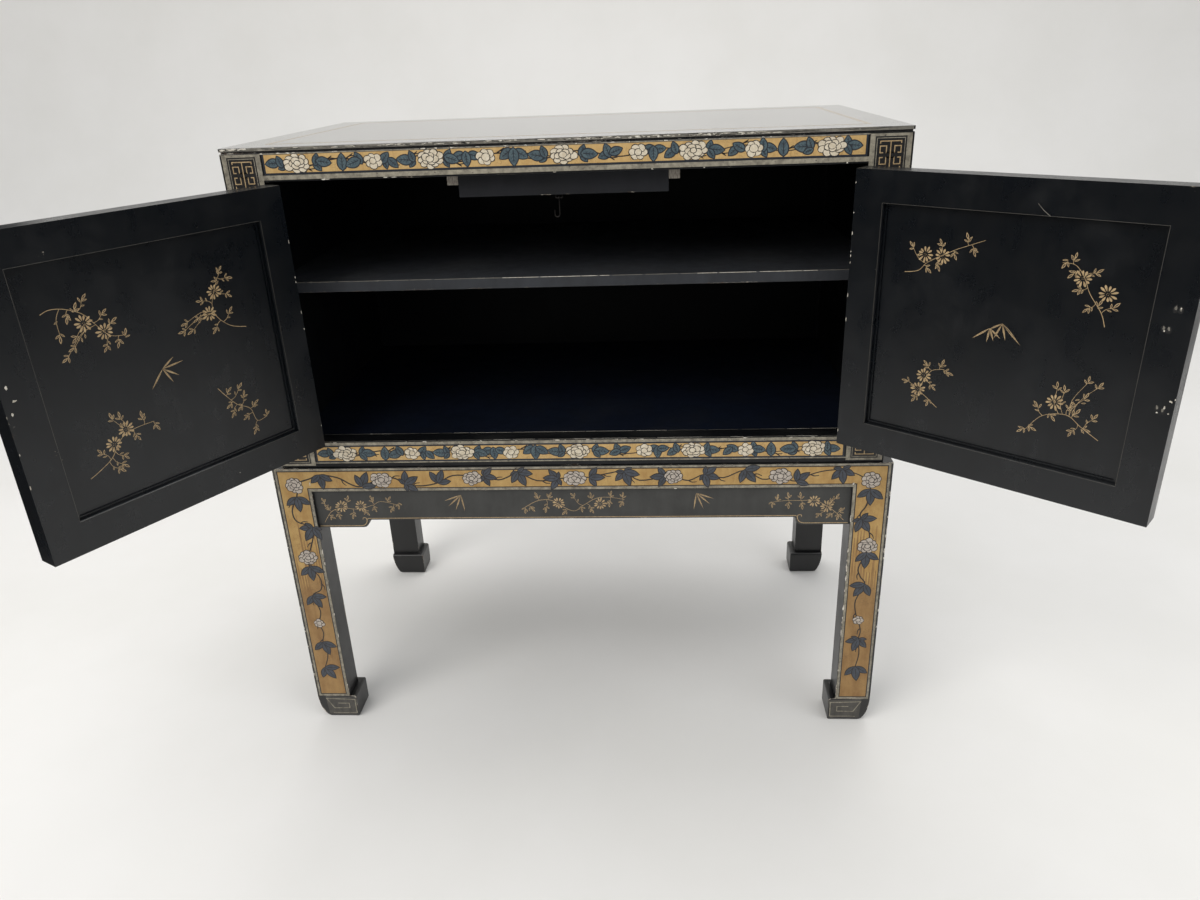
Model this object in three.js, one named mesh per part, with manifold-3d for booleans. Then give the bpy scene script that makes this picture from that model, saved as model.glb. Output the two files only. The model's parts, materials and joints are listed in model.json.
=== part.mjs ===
// Two-door lacquered cabinet on a low stand with scrolled hoof feet, doors standing open.
// Millimetres, +Z up, the doors face -Y. The origin is on the floor, mid-way across the whole outline.
import * as THREE from "three";
import { mergeVertices } from "three/addons/utils/BufferGeometryUtils.js";
import Module from "manifold-3d";

const wasm = await Module();
wasm.setup();

// Cabinet box
const cabinetWidth = 915;
const cabinetDepth = 528;
const cabinetHeight = 470;
const frameThickness = 30;
const frameStileWidth = 55;
const topRailHeight = 37.5;
const bottomRailHeight = 43;
const sideBoardThickness = 18;
const backBoardThickness = 12;
const topLipThickness = 5;
const topRevealHeight = 2.5;
const topRevealDepth = 2;
const topBoardDrop = 10.5;
const topLipBevel = 0.8;
const floorBoardThickness = 15;
const floorBoardSetDown = 5;

// Shelf and its bearers
const shelfThickness = 16;
const shelfHeightAboveBase = 277;
const shelfSetBack = 20;
const cleatSection = 16;
const cleatInset = 14;

// Stop rail under the top, with its end blocks and the hook that hangs from it
const stopRailWidth = 288;
const stopRailDrop = 58.5;
const stopRailThickness = 14;
const stopBlockWidth = 15;
const stopBlockDrop = 42;
const stopBlockDepth = 20;
const stapleWidth = 9;
const stapleDrop = 5;
const stapleLegSocket = 5;
const stapleWireRadius = 0.9;
const hookWireRadius = 0.8;
const hookLength = 28;
const hookBendRadius = 3.4;
const hookTipRise = 6;
const hookOffCentre = 7;

// Doors
const doorOpenLeft = THREE.MathUtils.degToRad(120);
const doorOpenRight = THREE.MathUtils.degToRad(140);
const doorMemberWidth = 41;
const doorPanelThickness = 12;
const doorGrooveDepth = 8;
const doorMouldingRadius = 4;
const doorFootGap = 1.5;
const doorHeadGap = 2;
const doorMeetingGap = 3;
const doorHingeGap = 1.5;

// Butt hinges
const hingeLength = 50;
const hingeFromDoorEnd = 55;
const hingeLeafWidth = 22;
const hingeLeafThickness = 1.2;
const hingeBarrelRadius = 3.6;
const hingePinRadius = 1.6;
const hingeProud = 4;
const hingePinHeadRadius = 2.6;
const hingePinHeadHeight = 1.8;
const pinCrownShare = 0.7;

// Door pulls
const pullRosetteRadius = 13;
const pullRosetteThickness = 2;
const pullNeckRadius = 3.6;
const pullNeckLength = 9;
const pullBallRadius = 8;
const pullShankRadius = 2.2;
const pullShankLength = 20;

// Stand
const standSideReveal = 14.5;
const standFrontReveal = 3;
const standHeight = 480;
const legWidth = 57;
const legDepth = 44;
const footCurveHeight = 51;
const footSoleInset = 16.5;
const footFrontCurveHeight = 26;
const footFrontInset = 4;
const heelHandleShares = [0.5, 0.4, 0.12];
const toeReach = 10.5;
const toeHeight = 46;
const toeRadius = 5;
const toeUnderside = 3;
const standRailHeight = 40;
const standRailThickness = 30;
const apronThickness = 14;
const apronSetBack = 5;
const apronEndDrop = 65;
const apronMiddleDrop = 52;
const apronBracketLength = 81;
const apronLobeRadius = 9;
const apronFilletRadius = 2.5;

// Clearances and finish of curves
const glueLine = 0.2;
const fitGap = 0.3;
const pinClearance = 0.08;
const weldTolerance = 0.0001;
const curveSteps = 10;
const roundSteps = 24;
const wireSteps = 8;

const standWidth = cabinetWidth + 2 * standSideReveal;
const standDepth = cabinetDepth + 2 * standFrontReveal;
const halfWidth = cabinetWidth / 2;
const halfDepth = cabinetDepth / 2;
const base = standHeight + glueLine;
const top = base + cabinetHeight;
const frontFace = -halfDepth;
const frameBack = frontFace + frameThickness;
const openingHalf = halfWidth - frameStileWidth;
const openingFoot = base + bottomRailHeight;
const frameTop = top - topLipThickness - topRevealHeight;
const openingHead = frameTop - topRailHeight;
const innerHalf = halfWidth - sideBoardThickness;
const innerBack = halfDepth - backBoardThickness;
const ceiling = frameTop - topBoardDrop;
const doorHeight = openingHead - doorHeadGap - openingFoot - doorFootGap;
const doorFoot = openingFoot + doorFootGap;
const hingeX = openingHalf - doorHingeGap / 2;
const hingeY = frontFace - hingeProud;
const doorNear = doorHingeGap / 2;
const doorFar = hingeX - doorMeetingGap / 2;
const doorOuterFace = hingeProud;
const hingeLevels = [hingeFromDoorEnd, doorHeight - hingeFromDoorEnd];
const hingeNames = ["lower", "upper"];

const lacquer = (name) => finish(name, 0x17191b, 0.32, 0);
const interior = (name) => finish(name, 0x101113, 0.5, 0);
const ochre = (name) => finish(name, 0xb98f4c, 0.4, 0);
const brass = (name) => finish(name, 0xa8874a, 0.38, 0.9);
const iron = (name) => finish(name, 0x2b2a28, 0.5, 0.7);
const blockWood = (name) => finish(name, 0x7a7264, 0.6, 0);

function finish(name, color, roughness, metalness) {
  return new THREE.MeshStandardMaterial({ name, color, roughness, metalness });
}

function piece(name, geometry, material) {
  const mesh = new THREE.Mesh(geometry, material.clone());
  mesh.name = name;
  return mesh;
}

// A rectangular board between three pairs of limits.
function boardGeometry([x0, x1], [y0, y1], [z0, z1]) {
  const geometry = new THREE.BoxGeometry(x1 - x0, y1 - y0, z1 - z0);
  return geometry.translate((x0 + x1) / 2, (y0 + y1) / 2, (z0 + z1) / 2);
}

function board(name, x, y, z, material) {
  return piece(name, boardGeometry(x, y, z), material);
}

function solidOf(geometry) {
  const bare = geometry.index ? geometry.toNonIndexed() : geometry.clone();
  bare.deleteAttribute("normal");
  bare.deleteAttribute("uv");
  const welded = mergeVertices(bare, weldTolerance);
  const mesh = new wasm.Mesh({
    numProp: 3,
    vertProperties: new Float32Array(welded.attributes.position.array),
    triVerts: new Uint32Array(welded.index.array),
  });
  return new wasm.Manifold(mesh);
}

function geometryOf(solid) {
  const mesh = solid.getMesh();
  const geometry = new THREE.BufferGeometry();
  geometry.setAttribute("position", new THREE.BufferAttribute(mesh.vertProperties, 3));
  geometry.setIndex(new THREE.BufferAttribute(mesh.triVerts, 1));
  const flat = geometry.toNonIndexed();
  flat.computeVertexNormals();
  return flat;
}

function join(...geometries) {
  return geometryOf(geometries.map(solidOf).reduce((all, next) => all.add(next)));
}

function cut(geometry, ...tools) {
  return geometryOf(tools.map(solidOf).reduce((left, tool) => left.subtract(tool), solidOf(geometry)));
}

function common(first, second) {
  return geometryOf(solidOf(first).intersect(solidOf(second)));
}

function extrude(shape, depth) {
  const settings = { depth, bevelEnabled: false, curveSegments: curveSteps };
  return new THREE.ExtrudeGeometry(shape, settings);
}

// A profile drawn in X and Z, given its thickness along +Y.
function frontProfile(shape, thickness) {
  return extrude(shape, thickness).rotateX(Math.PI / 2).translate(0, thickness, 0);
}

// A profile drawn in Y and Z, given its thickness along +X.
function sideProfile(shape, thickness) {
  return extrude(shape, thickness).rotateX(Math.PI / 2).rotateZ(Math.PI / 2);
}

function rod(radius, length, segments = roundSteps) {
  return new THREE.CylinderGeometry(radius, radius, length, segments).rotateX(Math.PI / 2);
}

// One face of a leg: straight outside down to a rounded heel, and a toe that rolls inwards.
function hoofOutline(width, heelHeight, heelInset) {
  const shape = new THREE.Shape();
  const toe = width + toeReach;
  const [highShare, inShare, lowShare] = heelHandleShares;
  shape.moveTo(0, standHeight);
  shape.lineTo(0, heelHeight);
  const high = [0, heelHeight * highShare];
  const low = [heelInset * inShare, heelHeight * lowShare];
  shape.bezierCurveTo(...high, ...low, heelInset, 0);
  shape.lineTo(toe - toeUnderside, 0);
  shape.lineTo(toe, toeUnderside);
  shape.lineTo(toe, toeHeight - toeRadius);
  shape.absarc(toe - toeRadius, toeHeight - toeRadius, toeRadius, 0, Math.PI / 2, false);
  shape.lineTo(width, toeHeight);
  shape.lineTo(width, standHeight);
  shape.closePath();
  return shape;
}

// The leg's outer corner is at the origin, and its toes reach towards +X and +Y.
function legGeometry() {
  const fromFront = hoofOutline(legWidth, footCurveHeight, footSoleInset);
  const fromSide = hoofOutline(legDepth, footFrontCurveHeight, footFrontInset);
  const front = frontProfile(fromFront, legDepth + toeReach);
  const side = sideProfile(fromSide, legWidth + toeReach);
  return common(front, side);
}

function leg(name, alongX, alongY, material) {
  const mesh = piece(name, legGeometry(), material);
  mesh.position.set((alongX * standWidth) / 2, (alongY * standDepth) / 2, 0);
  mesh.scale.set(-alongX, -alongY, 1);
  return mesh;
}

// An apron: low lobed brackets at both ends and a higher straight edge between them.
function apronOutline(length) {
  const end = length / 2;
  const lobe = end - apronBracketLength;
  const high = -apronMiddleDrop;
  const low = -apronEndDrop;
  const [bend, hollow] = [apronLobeRadius, apronFilletRadius];
  const shape = new THREE.Shape();
  shape.moveTo(-end, 0);
  shape.lineTo(-end, low);
  shape.absarc(-lobe - bend, low + bend, bend, -Math.PI / 2, 0, false);
  shape.absarc(-lobe + hollow, high - hollow, hollow, Math.PI, Math.PI / 2, true);
  shape.absarc(lobe - hollow, high - hollow, hollow, Math.PI / 2, 0, true);
  shape.absarc(lobe + bend, low + bend, bend, Math.PI, (3 * Math.PI) / 2, false);
  shape.lineTo(end, low);
  shape.lineTo(end, 0);
  shape.closePath();
  return shape;
}

function standLongSide(name, alongY, railMaterial) {
  const half = standWidth / 2 - legWidth - glueLine;
  const face = (alongY * standDepth) / 2;
  const railBack = face - alongY * standRailThickness;
  const railY = [Math.min(face, railBack), Math.max(face, railBack)];
  const railZ = [standHeight - standRailHeight, standHeight];
  const apronGeometry = frontProfile(apronOutline(2 * half), apronThickness);
  const apron = piece(`${name}_apron`, apronGeometry, lacquer("black_lacquer"));
  const apronFace = face - alongY * apronSetBack;
  const apronFront = alongY < 0 ? apronFace : apronFace - apronThickness;
  apron.position.set(0, apronFront, railZ[0] - glueLine);
  return [board(`${name}_rail`, [-half, half], railY, railZ, railMaterial), apron];
}

function standShortSide(name, alongX) {
  const half = standDepth / 2 - legDepth - glueLine;
  const face = (alongX * standWidth) / 2;
  const railBack = face - alongX * standRailThickness;
  const railX = [Math.min(face, railBack), Math.max(face, railBack)];
  const railZ = [standHeight - standRailHeight, standHeight];
  const apronGeometry = sideProfile(apronOutline(2 * half), apronThickness);
  const apron = piece(`${name}_apron`, apronGeometry, lacquer("black_lacquer"));
  const apronFace = face - alongX * apronSetBack;
  apron.position.set(alongX < 0 ? apronFace : apronFace - apronThickness, 0, railZ[0] - glueLine);
  return [board(`${name}_rail`, railX, [-half, half], railZ, lacquer("black_lacquer")), apron];
}

function makeStand() {
  const stand = new THREE.Group();
  stand.add(
    leg("stand_leg_front_left", -1, -1, ochre("ochre_ground")),
    leg("stand_leg_front_right", 1, -1, ochre("ochre_ground")),
    leg("stand_leg_back_left", -1, 1, lacquer("black_lacquer")),
    leg("stand_leg_back_right", 1, 1, lacquer("black_lacquer")),
    ...standLongSide("stand_front", -1, ochre("ochre_ground")),
    ...standLongSide("stand_back", 1, lacquer("black_lacquer")),
    ...standShortSide("stand_left", -1),
    ...standShortSide("stand_right", 1),
  );
  return stand;
}

// A front stile with a mortise in its inner edge for each hinge leaf. It is drawn for the right side.
function frameStile(name, side) {
  const limits = [[openingHalf, halfWidth], [frontFace, frameBack], [base, frameTop]];
  const mortises = hingeLevels.map((level) => {
    const middle = doorFoot + level;
    const half = hingeLength / 2 + fitGap;
    const x = [openingHalf - fitGap, openingHalf + hingeLeafThickness + fitGap];
    const y = [frontFace - fitGap, frontFace + hingeLeafWidth + fitGap];
    return boardGeometry(x, y, [middle - half, middle + half]);
  });
  const mesh = piece(name, cut(boardGeometry(...limits), ...mortises), lacquer("black_lacquer"));
  mesh.scale.x = side;
  return mesh;
}

function topBoard() {
  const beveled = cabinetWidth - 2 * topLipBevel;
  const deep = cabinetDepth - 2 * topLipBevel;
  const outline = new THREE.Shape();
  outline.moveTo(-beveled / 2, -deep / 2);
  outline.lineTo(beveled / 2, -deep / 2);
  outline.lineTo(beveled / 2, deep / 2);
  outline.lineTo(-beveled / 2, deep / 2);
  outline.closePath();
  const lip = new THREE.ExtrudeGeometry(outline, {
    depth: topLipThickness - 2 * topLipBevel,
    bevelEnabled: true,
    bevelSize: topLipBevel,
    bevelThickness: topLipBevel,
    bevelSegments: 2,
  }).translate(0, 0, top - topLipThickness + topLipBevel);
  const neckX = halfWidth - topRevealDepth;
  const neckY = halfDepth - topRevealDepth;
  const neckZ = [frameTop + glueLine, top - topLipBevel];
  const neck = boardGeometry([-neckX, neckX], [-neckY, neckY], neckZ);
  const letInX = innerHalf - glueLine;
  const letInY = [frameBack + glueLine, innerBack - glueLine];
  const letIn = boardGeometry([-letInX, letInX], letInY, [ceiling, frameTop + 2 * glueLine]);
  return piece("top_board", join(lip, neck, letIn), lacquer("black_lacquer"));
}

function makeCarcass() {
  const inner = innerHalf - glueLine;
  const railX = [-openingHalf + glueLine, openingHalf - glueLine];
  const frameY = [frontFace, frameBack];
  const sideY = [frameBack + glueLine, halfDepth];
  const insideY = [frameBack + glueLine, innerBack - glueLine];
  const floorTop = openingFoot - floorBoardSetDown;
  const shelfTop = base + shelfHeightAboveBase;
  const shelfFoot = shelfTop - shelfThickness;
  const cleatZ = [shelfFoot - glueLine - cleatSection, shelfFoot - glueLine];
  const cleatY = [frameBack + shelfSetBack + cleatInset, innerBack - cleatInset];
  const black = lacquer("black_lacquer");
  const dark = interior("interior_black");
  const carcass = new THREE.Group();
  carcass.add(
    frameStile("frame_stile_left", -1),
    frameStile("frame_stile_right", 1),
    board("frame_rail_top", railX, frameY, [openingHead, frameTop], ochre("ochre_ground")),
    board("frame_rail_bottom", railX, frameY, [base, openingFoot], ochre("ochre_ground")),
    board("side_board_left", [-halfWidth, -innerHalf], sideY, [base, frameTop], black),
    board("side_board_right", [innerHalf, halfWidth], sideY, [base, frameTop], black),
    board("back_board", [-inner, inner], [innerBack, halfDepth], [base, frameTop], black),
    board("floor_board", [-inner, inner], insideY, [floorTop - floorBoardThickness, floorTop], dark),
    board("shelf", [-inner, inner], [frameBack + shelfSetBack, insideY[1]], [shelfFoot, shelfTop], dark),
    board("shelf_cleat_left", [-inner, cleatSection - inner], cleatY, cleatZ, dark),
    board("shelf_cleat_right", [inner - cleatSection, inner], cleatY, cleatZ, dark),
    topBoard(),
  );
  return carcass;
}

// The rail that both doors close against, drilled from below for the hook's staple.
function makeStopRail() {
  const underTop = ceiling - glueLine;
  const foot = ceiling - stopRailDrop;
  const front = frameBack + 2 * fitGap;
  const half = stopRailWidth / 2;
  const wireY = front + stopRailThickness / 2;
  const sockets = [-1, 1].map((side) => {
    const depth = 2 * (stapleLegSocket + fitGap);
    const hole = rod(stapleWireRadius + fitGap, depth, wireSteps * 2);
    return hole.translate(side * (stapleWidth / 2) - hookOffCentre, wireY, foot);
  });
  const railY = [front, front + stopRailThickness];
  const body = boardGeometry([-half, half], railY, [foot, underTop]);
  const group = new THREE.Group();
  group.add(piece("stop_rail", cut(body, ...sockets), interior("interior_black")));
  for (const [name, side] of [["left", -1], ["right", 1]]) {
    const near = half + glueLine;
    const x = [near, near + stopBlockWidth].map((value) => side * value).sort((a, b) => a - b);
    const y = [front, front + stopBlockDepth];
    const z = [ceiling - stopBlockDrop, underTop];
    group.add(board(`stop_block_${name}`, x, y, z, blockWood("block_wood")));
  }
  group.add(staple(wireY, foot), hangingHook(wireY, foot - stapleDrop));
  return group;
}

function wire(points, radius, steps) {
  const section = new THREE.Shape().absarc(0, 0, radius, 0, 2 * Math.PI, false);
  const extrudePath = new THREE.CatmullRomCurve3(points, false, "centripetal");
  const settings = { extrudePath, steps, curveSegments: wireSteps, bevelEnabled: false };
  return new THREE.ExtrudeGeometry(section, settings);
}

// A wire staple: two legs in the rail and a level bar along X below it.
function staple(y, foot) {
  const half = stapleWidth / 2;
  const bar = rod(stapleWireRadius, stapleWidth + 2 * stapleWireRadius, wireSteps * 2)
    .rotateY(Math.PI / 2)
    .translate(0, 0, -stapleDrop);
  const legs = [-half, half].map((x) => {
    const length = stapleDrop + stapleLegSocket;
    return rod(stapleWireRadius, length, wireSteps * 2).translate(x, 0, length / 2 - stapleDrop);
  });
  const mesh = piece("hook_staple", join(bar, ...legs), iron("dark_iron"));
  mesh.position.set(-hookOffCentre, y, foot);
  return mesh;
}

// The hook swings on the staple's bar by a closed eye. Its tip turns up sideways.
function hangingHook(y, barLevel) {
  const eyeRadius = stapleWireRadius + fitGap + hookWireRadius;
  const ring = new THREE.TorusGeometry(eyeRadius, hookWireRadius, wireSteps, roundSteps);
  const eye = ring.rotateY(Math.PI / 2);
  const bottom = eyeRadius - hookLength;
  const points = [new THREE.Vector3(0, 0, -eyeRadius), new THREE.Vector3(0, 0, bottom / 2)];
  for (let i = 0; i <= curveSteps; i++) {
    const turn = (Math.PI * i) / curveSteps;
    const x = hookBendRadius * (1 - Math.cos(turn));
    const z = bottom + hookBendRadius - hookBendRadius * Math.sin(turn);
    points.push(new THREE.Vector3(-x, 0, z));
  }
  const tipLevel = bottom + hookBendRadius + hookTipRise;
  points.push(new THREE.Vector3(-2 * hookBendRadius, 0, tipLevel));
  const shank = wire(points, hookWireRadius, 4 * curveSteps);
  const mesh = piece("stop_hook", join(eye, shank), iron("dark_iron"));
  mesh.position.set(-hookOffCentre, y, barLevel);
  return mesh;
}

// Section of a door frame member: X runs from its outer edge inwards, Y through its thickness.
function memberSection() {
  const [width, thick, round] = [doorMemberWidth, frameThickness, doorMouldingRadius];
  const grooveHalf = doorPanelThickness / 2 + fitGap;
  const [lower, upper] = [thick / 2 - grooveHalf, thick / 2 + grooveHalf];
  const shape = new THREE.Shape();
  shape.moveTo(0, 0);
  shape.lineTo(width - round, 0);
  shape.absarc(width - round, round, round, -Math.PI / 2, 0, false);
  shape.lineTo(width, lower);
  shape.lineTo(width - doorGrooveDepth, lower);
  shape.lineTo(width - doorGrooveDepth, upper);
  shape.lineTo(width, upper);
  shape.absarc(width - round, thick - round, round, 0, Math.PI / 2, false);
  shape.lineTo(0, thick);
  shape.closePath();
  return shape;
}

// A member of the given length along Z, both ends mitred towards its inner edge.
function mitredMember(length) {
  const geometry = extrude(memberSection(), length);
  const place = geometry.attributes.position;
  for (let i = 0; i < place.count; i++) {
    const shift = place.getX(i) + fitGap / 2;
    const atFoot = place.getZ(i) < length / 2;
    place.setZ(i, atFoot ? shift : length - shift);
  }
  geometry.computeVertexNormals();
  return geometry;
}

function hingeStileGeometry() {
  const mortises = hingeLevels.map((level) => {
    const half = hingeLength / 2 + fitGap;
    const x = [-fitGap, hingeLeafThickness + fitGap];
    return boardGeometry(x, [-fitGap, hingeLeafWidth + fitGap], [level - half, level + half]);
  });
  return cut(mitredMember(doorHeight), ...mortises);
}

function meetingStileGeometry() {
  const hole = rod(pullShankRadius + fitGap, 2 * pullShankLength + 2 * fitGap)
    .rotateX(Math.PI / 2)
    .translate(doorMemberWidth / 2, 0, doorHeight / 2);
  return cut(mitredMember(doorHeight), hole);
}

function doorFrame(side) {
  const width = doorFar - doorNear;
  const black = lacquer("black_lacquer");
  const hingeStile = piece(`door_${side}_hinge_stile`, hingeStileGeometry(), black);
  hingeStile.position.set(doorNear, doorOuterFace, 0);
  const meetingStile = piece(`door_${side}_meeting_stile`, meetingStileGeometry(), black);
  meetingStile.position.set(doorFar, doorOuterFace, 0);
  meetingStile.scale.x = -1;
  const railGeometry = mitredMember(width);
  const bottomRail = piece(`door_${side}_bottom_rail`, railGeometry, black);
  bottomRail.rotation.y = -Math.PI / 2;
  bottomRail.position.set(doorFar, doorOuterFace, 0);
  const topRail = piece(`door_${side}_top_rail`, railGeometry.clone(), black);
  topRail.rotation.y = Math.PI / 2;
  topRail.position.set(doorNear, doorOuterFace, doorHeight);
  return [hingeStile, meetingStile, bottomRail, topRail];
}

function doorPanel(side) {
  const inset = doorMemberWidth - doorGrooveDepth + fitGap;
  const face = doorOuterFace + (frameThickness - doorPanelThickness) / 2;
  const x = [doorNear + inset, doorFar - inset];
  const y = [face, face + doorPanelThickness];
  return board(`door_${side}_panel`, x, y, [inset, doorHeight - inset], lacquer("black_lacquer"));
}

function pull(side) {
  const face = -glueLine;
  const neckEnd = face - pullRosetteThickness - pullNeckLength;
  const points = [new THREE.Vector2(0, pullShankLength)];
  points.push(new THREE.Vector2(pullShankRadius, pullShankLength));
  points.push(new THREE.Vector2(pullShankRadius, face));
  points.push(new THREE.Vector2(pullRosetteRadius, face));
  const rimRadius = pullRosetteRadius - pullRosetteThickness;
  points.push(new THREE.Vector2(rimRadius, face - pullRosetteThickness));
  points.push(new THREE.Vector2(pullNeckRadius, face - pullRosetteThickness));
  const start = Math.asin(pullNeckRadius / pullBallRadius);
  const centre = neckEnd - pullBallRadius * Math.cos(start);
  for (let i = 0; i < curveSteps; i++) {
    const turn = start + ((Math.PI - start) * i) / curveSteps;
    const out = pullBallRadius * Math.sin(turn);
    points.push(new THREE.Vector2(out, centre + pullBallRadius * Math.cos(turn)));
  }
  points.push(new THREE.Vector2(0, centre - pullBallRadius));
  const profile = points.reverse();
  const turned = new THREE.LatheGeometry(profile, roundSteps);
  const mesh = piece(`door_${side}_pull`, turned, brass("brass"));
  mesh.position.set(doorFar - doorMemberWidth / 2, doorOuterFace, doorHeight / 2);
  return mesh;
}

// A hinge leaf at the axis, its plate towards +Y, with the named knuckles out of five.
function leafGeometry(knuckles, plateX) {
  const pitch = hingeLength / 5;
  const start = -hingeLength / 2;
  const plate = boardGeometry(plateX, [hingeProud, hingeProud + hingeLeafWidth], [start, -start]);
  const parts = [plate];
  for (const index of knuckles) {
    const z = [start + index * pitch + fitGap / 2, start + (index + 1) * pitch - fitGap / 2];
    parts.push(boardGeometry(plateX, [0, hingeProud + fitGap], z));
    parts.push(rod(hingeBarrelRadius, z[1] - z[0]).translate(0, 0, (z[0] + z[1]) / 2));
  }
  const bore = rod(hingePinRadius + pinClearance, 2 * hingeLength);
  return cut(join(...parts), bore);
}

function pinGeometry() {
  const half = hingeLength / 2;
  const headFoot = half + fitGap;
  const headTop = headFoot + hingePinHeadHeight;
  const outline = [
    [0, -headTop],
    [hingePinHeadRadius * pinCrownShare, -headTop],
    [hingePinHeadRadius, -headTop + hingePinHeadHeight / 2],
    [hingePinHeadRadius, -headFoot],
    [hingePinRadius, -headFoot],
    [hingePinRadius, headFoot],
    [hingePinHeadRadius, headFoot],
    [hingePinHeadRadius, headTop - hingePinHeadHeight / 2],
    [hingePinHeadRadius * pinCrownShare, headTop],
    [0, headTop],
  ];
  const points = outline.map(([x, y]) => new THREE.Vector2(x, y));
  return new THREE.LatheGeometry(points, roundSteps).rotateX(Math.PI / 2);
}

// The pieces of a hinge that stay on the cabinet, drawn for the left door.
function fixedHingeHalf(side, label, level) {
  const plateX = [-doorHingeGap / 2 - hingeLeafThickness, -doorHingeGap / 2];
  const knuckles = leafGeometry([0, 2, 4], plateX);
  const leaf = piece(`hinge_${side}_${label}_frame_leaf`, knuckles, brass("brass"));
  const pin = piece(`hinge_${side}_${label}_pin`, pinGeometry(), brass("brass"));
  leaf.position.z = level;
  pin.position.z = level;
  return [leaf, pin];
}

function movingHingeHalf(side, label, level) {
  const plateX = [doorHingeGap / 2, doorHingeGap / 2 + hingeLeafThickness];
  const knuckles = leafGeometry([1, 3], plateX);
  const leaf = piece(`hinge_${side}_${label}_door_leaf`, knuckles, brass("brass"));
  leaf.position.z = level;
  return leaf;
}

// A door and its hinges about the hinge axis. The right door is the left one mirrored.
function makeDoor(side, direction, openAngle) {
  const hung = new THREE.Group();
  hung.position.set(direction * hingeX, hingeY, doorFoot);
  hung.scale.x = -direction;
  const swing = new THREE.Group();
  swing.rotation.z = -openAngle;
  swing.add(...doorFrame(side), doorPanel(side), pull(side));
  hung.add(swing);
  hingeLevels.forEach((level, i) => {
    hung.add(...fixedHingeHalf(side, hingeNames[i], level));
    swing.add(movingHingeHalf(side, hingeNames[i], level));
  });
  return hung;
}

// Puts the origin on the floor at the middle of the outline that the open doors give.
function centred(assembly) {
  assembly.updateMatrixWorld(true);
  const outline = new THREE.Box3().setFromObject(assembly, true);
  const middle = outline.getCenter(new THREE.Vector3());
  assembly.position.set(-middle.x, -middle.y, -outline.min.z);
  const part = new THREE.Group();
  part.add(assembly);
  return part;
}

const assembly = new THREE.Group();
assembly.add(
  makeStand(),
  makeCarcass(),
  makeStopRail(),
  makeDoor("left", -1, doorOpenLeft),
  makeDoor("right", 1, doorOpenRight),
);

export default centred(assembly);
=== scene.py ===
"""A lacquered two-door cabinet on its stand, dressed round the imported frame.

Places are in metres in the frame's axes. Painted work is drawn in millimetres on the flat faces of
the cabinet and laid on them as thin closed shapes.
"""

import json
import logging
import math
import random
from collections.abc import Callable, Iterable, Sequence
from dataclasses import dataclass, field
from enum import Enum, StrEnum, auto

import bmesh
import bpy
from bpy.types import Material, Node, NodeSocket, NodeTree, Object
from mathutils import Matrix, Vector


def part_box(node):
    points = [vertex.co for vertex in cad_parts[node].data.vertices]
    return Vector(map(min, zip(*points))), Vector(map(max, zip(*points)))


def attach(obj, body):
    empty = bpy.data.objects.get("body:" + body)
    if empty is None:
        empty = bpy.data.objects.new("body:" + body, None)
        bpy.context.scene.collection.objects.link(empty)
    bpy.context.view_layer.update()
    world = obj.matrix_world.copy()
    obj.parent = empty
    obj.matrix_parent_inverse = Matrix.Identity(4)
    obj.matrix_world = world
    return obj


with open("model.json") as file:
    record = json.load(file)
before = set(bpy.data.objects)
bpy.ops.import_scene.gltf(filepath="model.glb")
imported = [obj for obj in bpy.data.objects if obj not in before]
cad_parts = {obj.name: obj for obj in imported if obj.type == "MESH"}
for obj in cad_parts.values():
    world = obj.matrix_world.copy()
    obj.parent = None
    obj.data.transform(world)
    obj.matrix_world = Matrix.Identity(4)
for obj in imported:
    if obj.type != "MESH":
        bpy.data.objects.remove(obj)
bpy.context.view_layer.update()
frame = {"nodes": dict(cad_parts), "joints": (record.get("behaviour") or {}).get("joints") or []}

LOG = logging.getLogger("cabinet")
MM = 0.001
WELD_GAP = 0.00001
SHARP_CORNER = math.radians(35)

Colour = tuple[float, float, float, float]
Place = tuple[float, float]
Corners = tuple[Place, Place]
Sink = Callable[[float, float], float]
Sockets = bpy.types.bpy_prop_collection


def tint(*shades: int) -> Colour:
    """Turns a colour mixed on a 0 to 255 scale into shader values.

    Args:
        *shades: Red, green and blue.

    Returns:
        The linear colour with full alpha.
    """
    shares = (shade / 255 for shade in shades)
    return (*(s / 12.92 if s <= 0.04045 else ((s + 0.055) / 1.055) ** 2.4 for s in shares), 1.0)


BARE_WOOD = tint(96, 74, 54)
BARE_GESSO = tint(196, 188, 172)
CRACK_BROWN = tint(52, 42, 30)
DUST_GREY = tint(150, 145, 136)


class Pigment(StrEnum):
    """The paints of the decoration."""

    GOLD_GROUND = auto()
    STAND_GROUND = auto()
    LEG_GROUND = auto()
    BORDER_GREY = auto()
    LINE_BLUE = auto()
    LINE_DARK = auto()
    LEAF_TEAL = auto()
    LEAF_SLATE = auto()
    PETAL_CREAM = auto()
    PETAL_ROSE = auto()
    GILT = auto()
    FADED_LINE = auto()
    # Bare gesso where paint is worn off, and the pale paint of painted highlight lines.
    GESSO = auto()
    FIELD_BLACK = auto()
    FOOT_GROUND = auto()
    DOOR_FILM = auto()


class Coat(float, Enum):
    """How far each coat of paint stands out of its face, in millimetres."""

    FILM = 0.03
    TOP_LINE = 0.05
    # Height of worn lines and of painted highlight lines.
    WEAR = 0.06
    SCRATCH = 0.07
    UNDERLINE = 0.08
    SQUARE = 0.09
    BORDER = 0.1
    GOLD = 0.11
    LINE = 0.12
    BRANCH = 0.13
    LEG = 0.135
    LEG_FADE = 0.137
    STEM = 0.14
    SPRIG = 0.15
    BUD = 0.16
    TWIG = 0.17
    RIB = 0.18
    SLIT = 0.19
    LEAF = 0.2
    FRET = 0.2
    CHIP_RIM = 0.22
    CHIP = 0.26
    FLOWER = 0.38
    ANTHER = 0.82
    MOULDING = 2.4


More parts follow.
